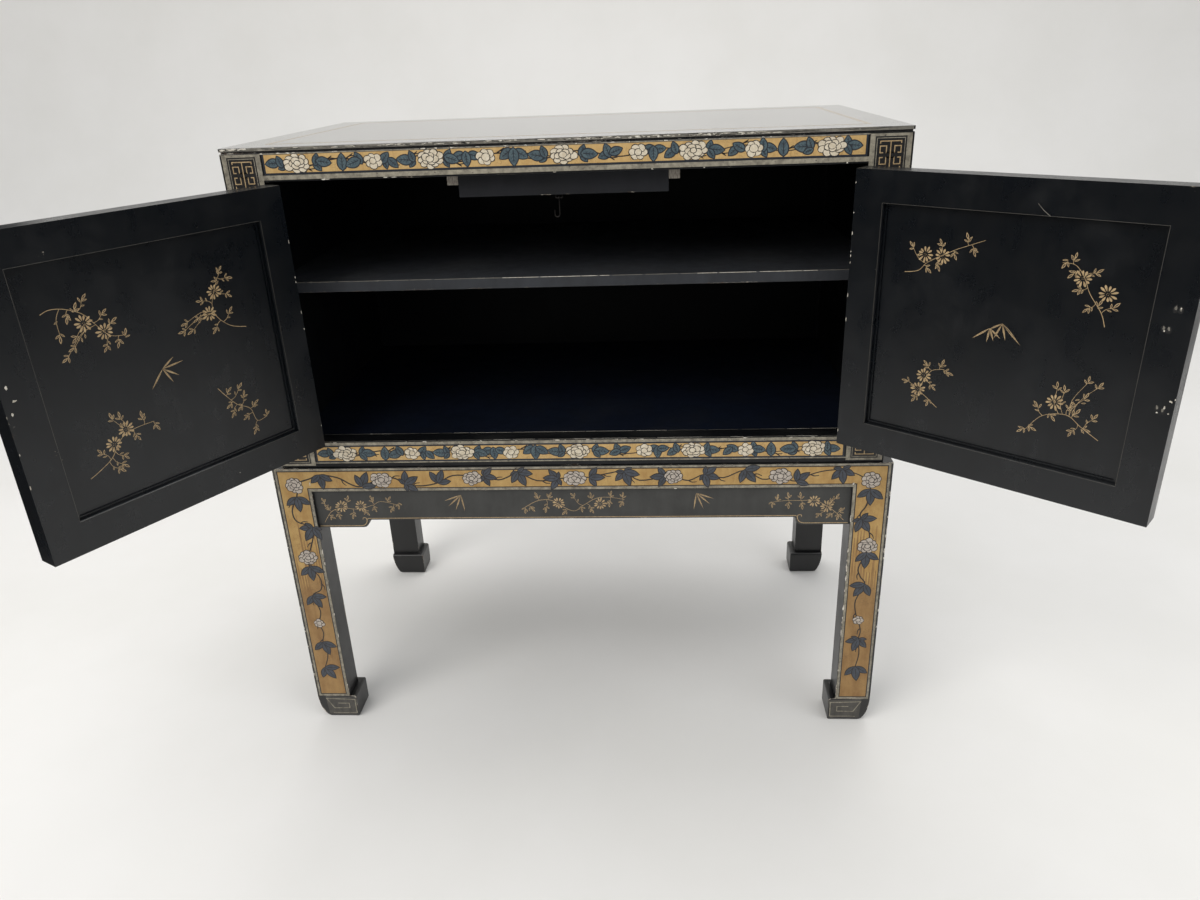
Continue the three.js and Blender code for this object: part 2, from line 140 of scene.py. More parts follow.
class Side(Enum):
    """The flat sides of the cabinet, as (across, up, out) directions."""

    FRONT = ((1, 0, 0), (0, 0, 1), (0, -1, 0))
    BACK = ((-1, 0, 0), (0, 0, 1), (0, 1, 0))
    LEFT = ((0, -1, 0), (0, 0, 1), (-1, 0, 0))
    RIGHT = ((0, 1, 0), (0, 0, 1), (1, 0, 0))
    TOP = ((1, 0, 0), (0, 1, 0), (0, 0, 1))


class Graph:
    """Adds and joins shader nodes in one node tree."""

    def __init__(self, tree: NodeTree) -> None:
        """Keeps the tree that the nodes go in."""
        self.tree = tree

    def feed(self, node: Node, inputs: dict) -> None:
        """Sets a node's inputs.

        Args:
            node: The node.
            inputs: Socket name or number to a plain value or to another node's output.
        """
        for key, value in inputs.items():
            if isinstance(value, NodeSocket):
                self.tree.links.new(value, node.inputs[key])
            else:
                node.inputs[key].default_value = value

    def add(self, kind: str, inputs: dict | None = None, **settings: object) -> Node:
        """Adds a node.

        Args:
            kind: The node's type name.
            inputs: Socket name or number to a plain value or to another node's output.
            **settings: The node's own properties.

        Returns:
            The new node.
        """
        node = self.tree.nodes.new(kind)
        for key, value in settings.items():
            setattr(node, key, value)
        self.feed(node, inputs or {})
        return node

    def sum(self, operation: str, *terms: object) -> NodeSocket:
        """Works one sum on plain values or other nodes' outputs."""
        return self.add("ShaderNodeMath", dict(enumerate(terms)), operation=operation).outputs[0]

    def mix(self, share: object, first: object, second: object) -> NodeSocket:
        """Mixes two colours, with a share of the second from 0 to 1."""
        inputs = {0: share, 6: first, 7: second}
        return self.add("ShaderNodeMix", inputs, data_type="RGBA").outputs[2]

    def step(self, value: object, low: object, high: object) -> NodeSocket:
        """Turns a value into a soft step from 0 at low to 1 at high."""
        inputs = {"Value": value, "From Min": low, "From Max": high}
        return self.add("ShaderNodeMapRange", inputs, interpolation_type="SMOOTHSTEP").outputs[0]

    def noise(self, where: NodeSocket, scale: object, detail: float) -> NodeSocket:
        """Adds a noise with so many waves per metre and so many finer layers."""
        inputs = {"Vector": where, "Scale": scale, "Detail": detail, "Roughness": 0.6}
        return self.add("ShaderNodeTexNoise", inputs).outputs[0]

    def stretched(self, where: NodeSocket, scale: Sequence[float]) -> NodeSocket:
        """Scales coordinates by a factor for each axis."""
        return self.add("ShaderNodeMapping", {"Vector": where, "Scale": scale}).outputs[0]

    def own_place(self) -> NodeSocket:
        """Returns the piece's own coordinates, in metres."""
        return self.add("ShaderNodeTexCoord").outputs["Object"]

    def place(self, tree: NodeTree, **values: float) -> NodeSocket:
        """Places a group with its own values and returns its one output."""
        return self.add("ShaderNodeGroup", values, node_tree=tree).outputs[0]


class Effects:
    """Shader node groups that several finishes share."""

    def __init__(self) -> None:
        """Builds each group once."""
        wear = {"Reach": 0.003, "Amount": 0.5, "Grain": 180.0}
        cracks = {"Scale": 220.0, "Width": 0.05, "Amount": 0.5}
        self.edge_wear = self._group("Edge wear", wear, "Mask", self._edge_wear)
        self.mottle = self._group("Mottle", {"Scale": 60.0, "Streak": 0.5}, "Value", self._mottle)
        self.crackle = self._group("Crackle", cracks, "Mask", self._crackle)
        self.dust = self._group("Dust", {"Amount": 0.3, "Scale": 14.0}, "Mask", self._dust)
        self.brushwork = self._group("Brushwork", {"Scale": 40.0}, "Height", self._brushwork)

    @staticmethod
    def _group(
        name: str,
        inputs: dict[str, float],
        output: str,
        build: Callable[[Graph, Sockets], NodeSocket],
    ) -> NodeTree:
        """Builds a group whose sockets are all plain values.

        Args:
            name: The group's name.
            inputs: Each input's name and first value.
            output: The name of its one output.
            build: Works out the output from the group's graph and its inputs.

        Returns:
            The group.
        """
        tree = bpy.data.node_groups.new(name, "ShaderNodeTree")
        kind = "NodeSocketFloat"
        for label, value in inputs.items():
            socket = tree.interface.new_socket(name=label, in_out="INPUT", socket_type=kind)
            socket.default_value = value
        tree.interface.new_socket(name=output, in_out="OUTPUT", socket_type=kind)
        graph = Graph(tree)
        given = graph.add("NodeGroupInput").outputs
        graph.add("NodeGroupOutput", {output: build(graph, given)})
        return tree

    @staticmethod
    def _edge_wear(graph: Graph, given: Sockets) -> NodeSocket:
        """Builds the mask of rubbed and chipped corners.

        Args:
            graph: The group's graph.
            given: The group's inputs.

        Returns:
            The mask.
        """
        settings = {"inside": True, "only_local": True, "samples": 6}
        corner = graph.add("ShaderNodeAmbientOcclusion", {"Distance": given["Reach"]}, **settings)
        nearness = graph.step(graph.sum("SUBTRACT", 1.0, corner.outputs["AO"]), 0.02, 0.42)
        where = graph.own_place()
        fine = graph.noise(where, given["Grain"], 6.0)
        patches = graph.noise(where, graph.sum("MULTIPLY", given["Grain"], 0.09), 3.0)
        chance = graph.sum("MULTIPLY", nearness, graph.sum("ADD", patches, 0.25))
        chance = graph.sum("ADD", chance, graph.sum("MULTIPLY", fine, 0.5))
        limit = graph.sum("SUBTRACT", 1.25, graph.sum("MULTIPLY", given["Amount"], 0.5))
        return graph.step(chance, limit, graph.sum("ADD", limit, 0.05))

    @staticmethod
    def _mottle(graph: Graph, given: Sockets) -> NodeSocket:
        """Builds the uneven depth of a hand-laid colour.

        Args:
            graph: The group's graph.
            given: The group's inputs.

        Returns:
            The depth, from 0 to 1.
        """
        where = graph.own_place()
        cloud = graph.noise(where, given["Scale"], 5.0)
        drawn = graph.stretched(where, (1.0, 1.0, 0.22))
        streak = graph.noise(drawn, graph.sum("MULTIPLY", given["Scale"], 3.0), 4.0)
        blend = graph.add("ShaderNodeMix", {0: given["Streak"], 2: cloud, 3: streak}).outputs[0]
        return graph.step(blend, 0.3, 0.7)

    @staticmethod
    def _crackle(graph: Graph, given: Sockets) -> NodeSocket:
        """Builds the fine net of cracks in old lacquer.

        Args:
            graph: The group's graph.
            given: The group's inputs.

        Returns:
            The mask.
        """
        where = graph.own_place()
        bend = graph.add("ShaderNodeTexNoise", {"Vector": where, "Scale": 90.0}).outputs["Color"]
        bent = graph.add("ShaderNodeMixRGB", {0: 0.012, 1: where, 2: bend}).outputs[0]
        inputs = {"Vector": bent, "Scale": given["Scale"]}
        cells = graph.add("ShaderNodeTexVoronoi", inputs, feature="DISTANCE_TO_EDGE")
        net = graph.step(cells.outputs["Distance"], 0.0, given["Width"])
        where_cracked = graph.step(graph.noise(where, 25.0, 3.0), 0.42, 0.62)
        mask = graph.sum("MULTIPLY", graph.sum("SUBTRACT", 1.0, net), where_cracked)
        return graph.sum("MULTIPLY", mask, given["Amount"])

    @staticmethod
    def _dust(graph: Graph, given: Sockets) -> NodeSocket:
        """Builds the mask of dust and hand marks, thicker on faces that look up.

        Args:
            graph: The group's graph.
            given: The group's inputs.

        Returns:
            The mask.
        """
        where = graph.own_place()
        cloud = graph.step(graph.noise(where, given["Scale"], 6.0), 0.45, 0.75)
        specks = graph.step(graph.noise(where, 900.0, 2.0), 0.68, 0.74)
        normal = graph.add("ShaderNodeNewGeometry").outputs["Normal"]
        upward = graph.add("ShaderNodeSeparateXYZ", {0: normal}).outputs[2]
        lying = graph.sum("ADD", graph.sum("MAXIMUM", upward, 0.0), 0.35)
        mask = graph.sum("ADD", graph.sum("MULTIPLY", cloud, 0.6), specks)
        mask = graph.sum("MULTIPLY", mask, lying)
        return graph.sum("MULTIPLY", mask, given["Amount"])

    @staticmethod
    def _brushwork(graph: Graph, given: Sockets) -> NodeSocket:
        """Builds the brush lines and the slow waves of a hand-rubbed coat.

        Args:
            graph: The group's graph.
            given: The group's inputs.

        Returns:
            The height.
        """
        where = graph.own_place()
        drawn = graph.stretched(where, (1.0, 1.0, 8.0))
        lines = graph.noise(drawn, graph.sum("MULTIPLY", given["Scale"], 6.0), 3.0)
        waves = graph.noise(where, graph.sum("MULTIPLY", given["Scale"], 0.25), 2.0)
        return graph.sum("ADD", graph.sum("MULTIPLY", lines, 0.2), waves)


def start_material(name: str) -> tuple[Material, Graph, Node]:
    """Starts a material with one Principled shader.

    Args:
        name: The material's name.

    Returns:
        The material, its graph and its shader node.
    """
    material = bpy.data.materials.new(name)
    material.use_nodes = True
    nodes = material.node_tree.nodes
    return material, Graph(material.node_tree), nodes["Principled BSDF"]


def finish_material(graph: Graph, shader: Node, inputs: dict, height: tuple | None = None) -> None:
    """Joins colours and values to the shader, with a bump where there is one.

    Args:
        graph: The material's graph.
        shader: The Principled shader.
        inputs: Socket name to value or output.
        height: None, or a height output, its depth in metres and the bump's strength.
    """
    if height:
        relief = dict(zip(("Height", "Distance", "Strength"), height))
        inputs = {**inputs, "Normal": graph.add("ShaderNodeBump", relief).outputs[0]}
    graph.feed(shader, inputs)


@dataclass(frozen=True)
class Lacquer:
    """Black lacquer over gesso and wood.

    Attributes:
        name: The finish's name.
        colour: The lacquer.
        haze: What handling and dust turn it to.
        roughness: Its roughness where clean.
        wear: How worn its corners are, from 0 to 1.
        reach: How far from a corner the wear reaches, in metres.
        dust: How dusty it is.
        gloss: How strongly it reflects when seen straight on.
        varnish: The weight of a clear coat over it.
        relief: How strongly brush marks and chips show in its surface.
    """

    name: str
    colour: Colour
    haze: Colour
    roughness: float
    wear: float
    reach: float = 0.003
    dust: float = 0.25
    gloss: float = 0.3
    varnish: float = 0.0
    relief: float = 0.35

    def material(self, effects: Effects) -> Material:
        """Builds the finish.

        Args:
            effects: The shared node groups.

        Returns:
            The material.
        """
        material, graph, shader = start_material(self.name)
        depth = graph.place(effects.mottle, Scale=22.0, Streak=0.35)
        dust = graph.place(effects.dust, Amount=self.dust, Scale=11.0)
        wear = graph.place(effects.edge_wear, Reach=self.reach, Amount=self.wear, Grain=210.0)
        deeper = (*(value * 0.62 for value in self.colour[:3]), 1.0)
        coat = graph.mix(dust, graph.mix(depth, self.colour, deeper), self.haze)
        patches = graph.step(graph.noise(graph.own_place(), 120.0, 4.0), 0.44, 0.56)
        rough = graph.sum("MULTIPLY_ADD", depth, 0.26 * self.relief, self.roughness)
        for mask in (dust, wear):
            rough = graph.sum("ADD", rough, graph.sum("MULTIPLY", mask, 0.3))
        coats = graph.place(effects.brushwork, Scale=36.0)
        height = graph.sum("SUBTRACT", coats, graph.sum("MULTIPLY", wear, 1.5))
        inputs = {
            "Base Color": graph.mix(wear, coat, graph.mix(patches, BARE_WOOD, BARE_GESSO)),
            "Roughness": rough,
            "Specular IOR Level": self.gloss,
            "Coat Weight": self.varnish,
            "Coat Roughness": 0.16,
        }
        finish_material(graph, shader, inputs, (height, 0.0004, self.relief))
        return material


@dataclass(frozen=True)
class Paint:
    """A paint of the decoration, with a worn varnish over it.

    Attributes:
        pigment: Which paint it is.
        colour: The paint.
        shade: What it turns to in places.
        scale: How fine its unevenness is, in waves per metre.
        streak: How much of that is brushed streaks.
        crackle: How strongly it has cracked.
        rubbed: What shows where it is rubbed through.
        rubbing: How much of it is rubbed through, from 0 to 1.
        roughness: Its roughness.
    """

    pigment: Pigment
    colour: Colour
    shade: Colour
    scale: float = 90.0
    streak: float = 0.4
    crackle: float = 0.35
    rubbed: Colour = (0.02, 0.018, 0.016, 1.0)
    rubbing: float = 0.12
    roughness: float = 0.42

    def material(self, effects: Effects) -> Material:
        """Builds the finish.

        Args:
            effects: The shared node groups.

        Returns:
            The material.
        """
        material, graph, shader = start_material(self.pigment.value)
        depth = graph.place(effects.mottle, Scale=self.scale, Streak=self.streak)
        cracks = graph.place(effects.crackle, Scale=190.0, Width=0.06, Amount=self.crackle)
        base = graph.mix(cracks, graph.mix(depth, self.colour, self.shade), CRACK_BROWN)
        limit = 0.74 - 0.2 * self.rubbing
        spots = graph.step(graph.noise(graph.own_place(), 420.0, 5.0), limit, limit + 0.05)
        height = graph.sum("SUBTRACT", depth, graph.sum("ADD", cracks, spots))
        inputs = {
            "Base Color": graph.mix(spots, base, self.rubbed),
            "Roughness": graph.sum("MULTIPLY_ADD", depth, 0.14, self.roughness),
        }
        finish_material(graph, shader, inputs, (height, 0.0002, 0.4))
        return material


@dataclass(frozen=True)
class OldMetal:
    """Aged brass or iron.

    Attributes:
        name: The finish's name.
        bright: The metal where it is rubbed.
        dull: The metal where it has darkened.
        roughness: Its roughness where bright.
    """

    name: str
    bright: Colour
    dull: Colour
    roughness: float

    def material(self, effects: Effects) -> Material:
        """Builds the finish.

        Args:
            effects: The shared node groups.

        Returns:
            The material.
        """
        material, graph, shader = start_material(self.name)
        depth = graph.place(effects.mottle, Scale=160.0, Streak=0.2)
        rubbed = graph.place(effects.edge_wear, Reach=0.001, Amount=0.7, Grain=500.0)
        base = graph.mix(rubbed, graph.mix(depth, self.bright, self.dull), self.bright)
        rough = graph.sum("MULTIPLY_ADD", depth, 0.22, self.roughness)
        inputs = {"Base Color": base, "Roughness": rough, "Metallic": 0.9}
        finish_material(graph, shader, inputs, (depth, 0.0002, 0.25))
        return material


@dataclass(frozen=True)
class BareWood:
    """Unfinished wood with a straight grain.

    Attributes:
        name: The finish's name.
        pale: The early wood.
        dark: The late wood.
    """

    name: str
    pale: Colour
    dark: Colour

    def material(self, effects: Effects) -> Material:
        """Builds the finish.

        Args:
            effects: The shared node groups.

        Returns:
            The material.
        """
        material, graph, shader = start_material(self.name)
        drawn = graph.stretched(graph.own_place(), (6.0, 1.0, 1.0))
        grain = graph.step(graph.noise(drawn, 160.0, 5.0), 0.35, 0.65)
        dust = graph.place(effects.dust, Amount=0.5, Scale=40.0)
        base = graph.mix(dust, graph.mix(grain, self.pale, self.dark), DUST_GREY)
        rough = graph.sum("MULTIPLY_ADD", grain, 0.15, 0.6)
        inputs = {"Base Color": base, "Roughness": rough}
        finish_material(graph, shader, inputs, (grain, 0.0003, 0.5))
        return material


FINISHES = (
    Lacquer("carcass_lacquer", tint(18, 19, 21), tint(70, 69, 66), 0.3, 0.4),
    Lacquer(
        "top_lacquer", tint(42, 41, 40), tint(84, 82, 78), 0.22, 0.45, reach=0.0025, dust=0.12,
        gloss=1.0, varnish=1.0, relief=0.02,
    ),
    Lacquer("door_lacquer", tint(7, 11, 16), tint(86, 88, 92), 0.25, 0.13, dust=0.2, gloss=0.5),
    Lacquer("door_film", tint(7, 11, 16), tint(86, 88, 92), 0.25, 0.0, dust=0.2, gloss=0.5),
    Lacquer("stand_lacquer", tint(22, 22, 23), tint(76, 73, 68), 0.3, 0.42, gloss=0.6),
    Lacquer("apron_lacquer", tint(60, 60, 58), tint(90, 88, 83), 0.36, 0.3, gloss=0.42),
    Lacquer("inside_lacquer", tint(13, 19, 32), tint(42, 44, 48), 0.42, 0.3, dust=0.15),
    # The shelf's lacquer is a lighter copy of the black lacquer inside: painted light for the light
    # on its front edge.
    Lacquer("shelf_lacquer", tint(54, 56, 60), tint(80, 80, 80), 0.4, 0.45, dust=0.3),
    Lacquer("stop_lacquer", tint(36, 37, 41), tint(70, 70, 70), 0.4, 0.3, dust=0.2),
    OldMetal("old_brass", tint(176, 142, 84), tint(92, 72, 44), 0.34),
    OldMetal("dark_iron", tint(60, 57, 55), tint(28, 27, 27), 0.42),
    BareWood("block_wood", tint(150, 143, 132), tint(104, 96, 86)),
)  # fmt: skip

PAINTS = (
    Paint(Pigment.GOLD_GROUND, tint(190, 158, 103), tint(170, 135, 80), 70.0),
    Paint(Pigment.STAND_GROUND, tint(178, 146, 88), tint(152, 116, 62), 45.0, 0.4, 0.3),
    Paint(Pigment.LEG_GROUND, tint(152, 119, 71), tint(125, 91, 50), 38.0, 0.5, 0.3),
    Paint(
        Pigment.BORDER_GREY, tint(151, 144, 127), tint(104, 98, 86), 120.0, 0.12, 0.5, rubbing=0.5
    ),
    Paint(Pigment.LINE_BLUE, tint(32, 39, 50), tint(21, 25, 33), 120.0, rubbing=0.2),
    Paint(Pigment.LINE_DARK, tint(42, 35, 33), tint(27, 24, 25), 150.0),
    Paint(Pigment.LEAF_TEAL, tint(78, 95, 100), tint(53, 70, 79), 150.0, 0.2),
    Paint(Pigment.LEAF_SLATE, tint(68, 73, 82), tint(48, 53, 60), 120.0, 0.3),
    Paint(Pigment.PETAL_CREAM, tint(209, 199, 179), tint(186, 172, 147), 160.0, 0.2, 0.25),
    Paint(Pigment.PETAL_ROSE, tint(183, 173, 160), tint(157, 146, 136), 140.0, 0.2, 0.3),
    Paint(Pigment.GILT, tint(186, 160, 119), tint(143, 119, 85), 240.0, 0.3, 0.2, roughness=0.36),
    Paint(Pigment.FADED_LINE, tint(120, 116, 106), tint(92, 88, 80), 90.0),
    Paint(
        Pigment.GESSO, tint(214, 210, 198), tint(160, 150, 134), 300.0, rubbing=0.1, roughness=0.7
    ),
    Paint(Pigment.FIELD_BLACK, tint(24, 23, 24), tint(14, 14, 16), 80.0),
    Paint(Pigment.FOOT_GROUND, tint(80, 77, 71), tint(57, 55, 52), 60.0),
)  # fmt: skip


class Palette:
    """Every finish and paint of the cabinet as a material."""

    def __init__(self) -> None:
        """Builds the shared effects and the materials."""
        effects = Effects()
        self.finishes = {finish.name: finish.material(effects) for finish in FINISHES}
        self.paints = {paint.pigment: paint.material(effects) for paint in PAINTS}
        self.paints[Pigment.DOOR_FILM] = self.finishes["door_film"]

    def dress(self, node: str, finish: str, softened: float = 0.8) -> None:
        """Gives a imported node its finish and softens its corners.

        Args:
            node: The node's name.
            finish: The finish's name.
            softened: The width of the softened corners, in millimetres, or 0 for none.
        """
        piece = frame["nodes"][node]
        for slot in piece.material_slots:
            slot.material = self.finishes[finish]
        LOG.info("%s: %s", node, finish)
        if softened:
            piece.modifiers.new("joined", "WELD").merge_threshold = WELD_GAP
            soft = piece.modifiers.new("softened", "BEVEL")
            soft.width = softened * MM
            soft.segments = 2
            soft.limit_method, soft.angle_limit = "ANGLE", SHARP_CORNER
            piece.modifiers.new("evened", "WEIGHTED_NORMAL")


@dataclass(frozen=True)
class Face:
    """A flat face to draw on.

    Attributes:
        corner: Where its places are counted from, in metres.
        across: The direction of a place's first number.
        up: The direction of its second number.
        out: The way that the face looks.
        sink: How far the face falls back at a place, in millimetres, or None for a flat one.
    """

    corner: Vector
    across: Vector
    up: Vector
    out: Vector
    sink: Sink | None = None

    def place(self, x: float, y: float, height: float) -> Vector:
        """Finds the point so many millimetres across, up and out of the face, in metres."""
        lift = height - (self.sink(x, y) if self.sink else 0.0)
        return self.corner + (self.across * x + self.up * y + self.out * lift) * MM


def put(name: str, data: bpy.types.ID) -> Object:
    """Makes an object and puts it in the scene.

    Args:
        name: The object's name.
        data: Its mesh, lamp or camera.

    Returns:
        The object.
    """
    item = bpy.data.objects.new(name, data)
    bpy.context.scene.collection.objects.link(item)
    return item


def inset(low: Place, high: Place, across: float, up: float | None = None) -> Corners:
    """Draws in the corners of a rectangle.

    Args:
        low: The lower left corner.
        high: The upper right corner.
        across: How far, across and up.
        up: How far up, where it differs.

    Returns:
        The new corners.
    """
    rise = across if up is None else up
    return (low[0] + across, low[1] + rise), (high[0] - across, high[1] - rise)


def moved(place: Place, angle: float, distance: float) -> Place:
    """Moves a place in a direction given in degrees.

    Args:
        place: Where it starts.
        angle: The direction.
        distance: How far.

    Returns:
        The new place.
    """
    turn = math.radians(angle)
    return place[0] + distance * math.cos(turn), place[1] + distance * math.sin(turn)


def carried(
    spray: Sequence[Sequence[Place]], centre: Place, to: Place, scale: float
) -> list[list[Place]]:
    """Carries a spray to another place at another size.

    Args:
        spray: The stem's, the daisies' and the leaves' places.
        centre: The place that it is counted from.
        to: Where that place goes.
        scale: How many times larger it becomes.

    Returns:
        The spray's new places.
    """
    return [
        [(to[0] + (x - centre[0]) * scale, to[1] + (y - centre[1]) * scale) for x, y in places]
        for places in spray
    ]


def smooth(points: Sequence[Place], steps: int) -> list[Place]:
    """Runs a smooth curve through points.

    Args:
        points: The points, in order.
        steps: Steps from one point to the next.

    Returns:
        The points of the curve.
    """
    ends = [points[0], *points, points[-1]]
    found: list[Place] = []
    for four in zip(ends, ends[1:], ends[2:], ends[3:]):
        for t in (i / steps for i in range(steps)):
            place = []
            for a, b, c, d in zip(*four):
                bend = (2 * a - 5 * b + 4 * c - d) * t * t
                twist = (3 * b - a - 3 * c + d) * t * t * t
                place.append(0.5 * (2 * b + (c - a) * t + bend + twist))
            found.append(tuple(place))
    return [*found, points[-1]]


def blade(
    foot: Place,
    angle: float,
    length: float,
    width: float,
    skew: float,
    blunt: float,
    steps: int = 7,
) -> list[Place]:
    """Draws the outline of a leaf or petal.

    Args:
        foot: Where it starts.
        angle: Its direction, in degrees.
        length: Its length.
        width: Its greatest width.
        skew: Below 1 it is widest near its foot, above 1 near its tip.
        blunt: Below 1 its ends are rounder, above 1 sharper.
        steps: Steps along each edge.

    Returns:
        The outline's places.
    """
    turn = math.radians(angle)
    along, aside = (math.cos(turn), math.sin(turn)), (-math.sin(turn), math.cos(turn))
    edge: list[Place] = []
    for i in range(steps + 1):
        share = i / steps
        half = width / 2 * max(math.sin(math.pi * share**skew), 0.02) ** blunt
        edge.append((share * length, half))
    return [
        (foot[0] + far * along[0] + half * aside[0], foot[1] + far * along[1] + half * aside[1])
        for far, half in edge + [(far, -half) for far, half in reversed(edge)]
    ]


@dataclass
class Shape:
    """One closed shape of paint: its outline, the faces over it, its height and its paint."""

    outline: list[Place]
    faces: list[tuple[int, ...]]
    height: float
    pigment: Pigment


@dataclass
class Drawing:
    """Painted work on one face, made into one mesh of thin closed shapes.

    Attributes:
        face: The face that it lies on.
        palette: The cabinet's materials.
        seed: Where its unevenness starts.
        depth: How far each shape goes into the face, in millimetres.
    """

    face: Face
    palette: Palette
    seed: int
    depth: float = 0.05
    shapes: list[Shape] = field(default_factory=list)

    def __post_init__(self) -> None:
        """Starts the drawing's own draws of chance and its layers of leaves."""
        self.chance = random.Random(self.seed)
        self.layer = 0

    def next_layer(self) -> float:
        """Returns the height of the next leaf, so that leaves lie over one another."""
        self.layer = (self.layer + 1) % 3
        return Coat.LEAF + 0.06 * self.layer

    def fill(self, outline: Sequence[Place], pigment: Pigment, height: float) -> None:
        """Fills an outline, so many millimetres out of the face."""
        self.shapes.append(Shape(list(outline), [tuple(range(len(outline)))], height, pigment))

    def panel(self, low: Place, high: Place, pigment: Pigment, height: float) -> None:
        """Fills a rectangle between its lower left and upper right corners."""
        self.fill([low, (high[0], low[1]), high, (low[0], high[1])], pigment, height)

    def stroke(
        self,
        points: Sequence[Place],
        width: float,
        pigment: Pigment,
        height: float,
        ends: tuple[float, float] = (1.0, 1.0),
    ) -> None:
        """Draws a line of paint.

        Args:
            points: The line's places.
            width: Its width.
            pigment: The paint.
            height: How far it stands out of the face.
            ends: The share of the width at its start and its end.
        """
        line = [Vector(point) for point in points]
        last = len(line) - 1
        left: list[Place] = []
        right: list[Place] = []
        for i, point in enumerate(line):
            first, second = point - line[max(i - 1, 0)], line[min(i + 1, last)] - point
            first = first.normalized() if first.length else second.normalized()
            second = second.normalized() if second.length else first
            across = Vector((-(first + second).y, (first + second).x)).normalized()
            # At a bend the line is cut longer across, so that its width stays the same.
            spread = min(1.0 / max(across.dot(Vector((-first.y, first.x))), 0.4), 2.0)
            share = ends[0] + (ends[1] - ends[0]) * i / last
            half = across * (width / 2 * share * spread)
            left.append(tuple(point + half))
            right.append(tuple(point - half))
        quads = [(i, i + 1, 2 * last - i, 2 * last + 1 - i) for i in range(last)]
        self.shapes.append(Shape(left + right[::-1], quads, height, pigment))

    def border(
        self, low: Place, high: Place, width: float, pigment: Pigment, height: float
    ) -> None:
        """Draws a rectangle of line just inside two corners.

        Args:
            low: The lower left corner.
            high: The upper right corner.
            width: The line's width.
            pigment: The paint.
            height: How far it stands out of the face.
        """
        outer, inner = (
            (a, (b[0], a[1]), b, (a[0], b[1])) for a, b in ((low, high), inset(low, high, width))
        )
        for i, j in ((0, 1), (1, 2), (2, 3), (3, 0)):
            self.fill([outer[i], outer[j], inner[j], inner[i]], pigment, height)

    def blot(
        self, centre: Place, radii: Place, pigment: Pigment, height: float, uneven: float
    ) -> None:
        """Fills an uneven round.

        Args:
            centre: Its middle.
            radii: Its half width and half height.
            pigment: The paint.
            height: How far it stands out of the face.
            uneven: How uneven its edge is, as a share of its radii.
        """
        count = 11
        phase = self.chance.uniform(0, math.tau)
        ring = []
        for i in range(count):
            turn = phase + math.tau * i / count
            swell = 1 + self.chance.uniform(-uneven, uneven)
            x = centre[0] + radii[0] * swell * math.cos(turn)
            ring.append((x, centre[1] + radii[1] * swell * math.sin(turn)))
        self.fill(ring, pigment, height)

    def leaf(
        self, foot: Place, angle: float, length: float, width: float, pigment: Pigment
    ) -> None:
        """Draws a leaf with a dark outline and veins.

        Args:
            foot: Where it starts.
            angle: Its direction, in degrees.
            length: Its length.
            width: Its width.
            pigment: Its colour.
        """
        edge, level = 1.5, self.next_layer()
        start = moved(foot, angle, -edge)
        outer = blade(start, angle, length + 2 * edge, width + 2 * edge, 0.85, 0.7)
        self.fill(outer, Pigment.LINE_BLUE, level)
        self.fill(blade(foot, angle, length, width, 0.85, 0.7), pigment, level + 0.03)
        rib = [moved(foot, angle, length * share) for share in (0.12, 0.86)]
        self.stroke(rib, 1.3, Pigment.LINE_BLUE, level + 0.05, (1.0, 0.6))
        for share in (0.26, 0.46, 0.66):
            start = moved(foot, angle, length * share)
            for turn in (-46, 46):
                vein = [start, moved(start, angle + turn, width * 0.36)]
                self.stroke(vein, 0.7, Pigment.LINE_BLUE, level + 0.04, (1.0, 0.6))

    def vine_leaf(self, foot: Place, angle: float, size: float) -> None:
        """Draws a leaf of three to five pointed lobes.

        Args:
            foot: Where its stalk ends.
            angle: The middle lobe's direction, in degrees.
            size: The middle lobe's length.
        """
        lobes = [(56, 0.88), (-54, 0.84), (0, 1.0)]
        if self.chance.random() < 0.3:
            lobes = [(104, 0.5), (-102, 0.48), *lobes]
        for turn, share in lobes:
            way, level = angle + turn + self.chance.uniform(-6, 6), self.next_layer()
            length = size * share * self.chance.uniform(0.94, 1.08)
            width = length * 0.43
            outer = blade(moved(foot, way, -1.2), way, length + 3.0, width + 2.8, 0.95, 0.82)
            self.fill(outer, Pigment.LINE_DARK, level)
            inner = blade(foot, way, length, width, 0.95, 0.82)
            self.fill(inner, Pigment.LEAF_SLATE, level + 0.03)
            rib = [moved(foot, way, length * along) for along in (0.18, 0.84)]
            self.stroke(rib, 1.2, Pigment.LINE_DARK, level + 0.05, (1.0, 0.5))

    def blossom(self, centre: Place, radii: Place, pigment: Pigment, small: bool) -> None:
        """Draws a full flower of overlapping round petals.

        Args:
            centre: Its middle.
            radii: Its half width and half height.
            pigment: The petals' colour.
            small: Whether it has fewer petals.
        """
        if small:
            rings, rim = ((6, 0.6, 0.4), (1, 0.0, 0.4)), 0.9
        else:
            rings, rim = ((9, 0.72, 0.31), (5, 0.34, 0.3), (1, 0.0, 0.26)), 1.0
        level: float = Coat.FLOWER
        for count, distance, size in rings:
            phase = self.chance.uniform(0, math.tau)
            for i in range(count):
                turn = phase + math.tau * i / count + self.chance.uniform(-0.1, 0.1)
                away = distance * self.chance.uniform(0.84, 1.14)
                x = centre[0] + radii[0] * away * math.cos(turn)
                y = centre[1] + radii[1] * away * math.sin(turn)
                swell = self.chance.uniform(0.86, 1.2)
                wide, tall = radii[0] * size * swell, radii[1] * size * swell
                wide, tall = (wide + 0.3 * tall) / 1.3, (tall + 0.3 * wide) / 1.3
                self.blot((x, y), (wide + rim, tall + rim), Pigment.LINE_DARK, level, 0.05)
                self.blot((x, y), (wide, tall), pigment, level + 0.02, 0.07)
                level += 0.023

    def twig(self, points: Sequence[Place]) -> None:
        """Draws a dark woody line that thins towards its tip."""
        self.stroke(smooth(points, 5), 2.1, Pigment.LINE_DARK, Coat.TWIG, (1.0, 0.55))

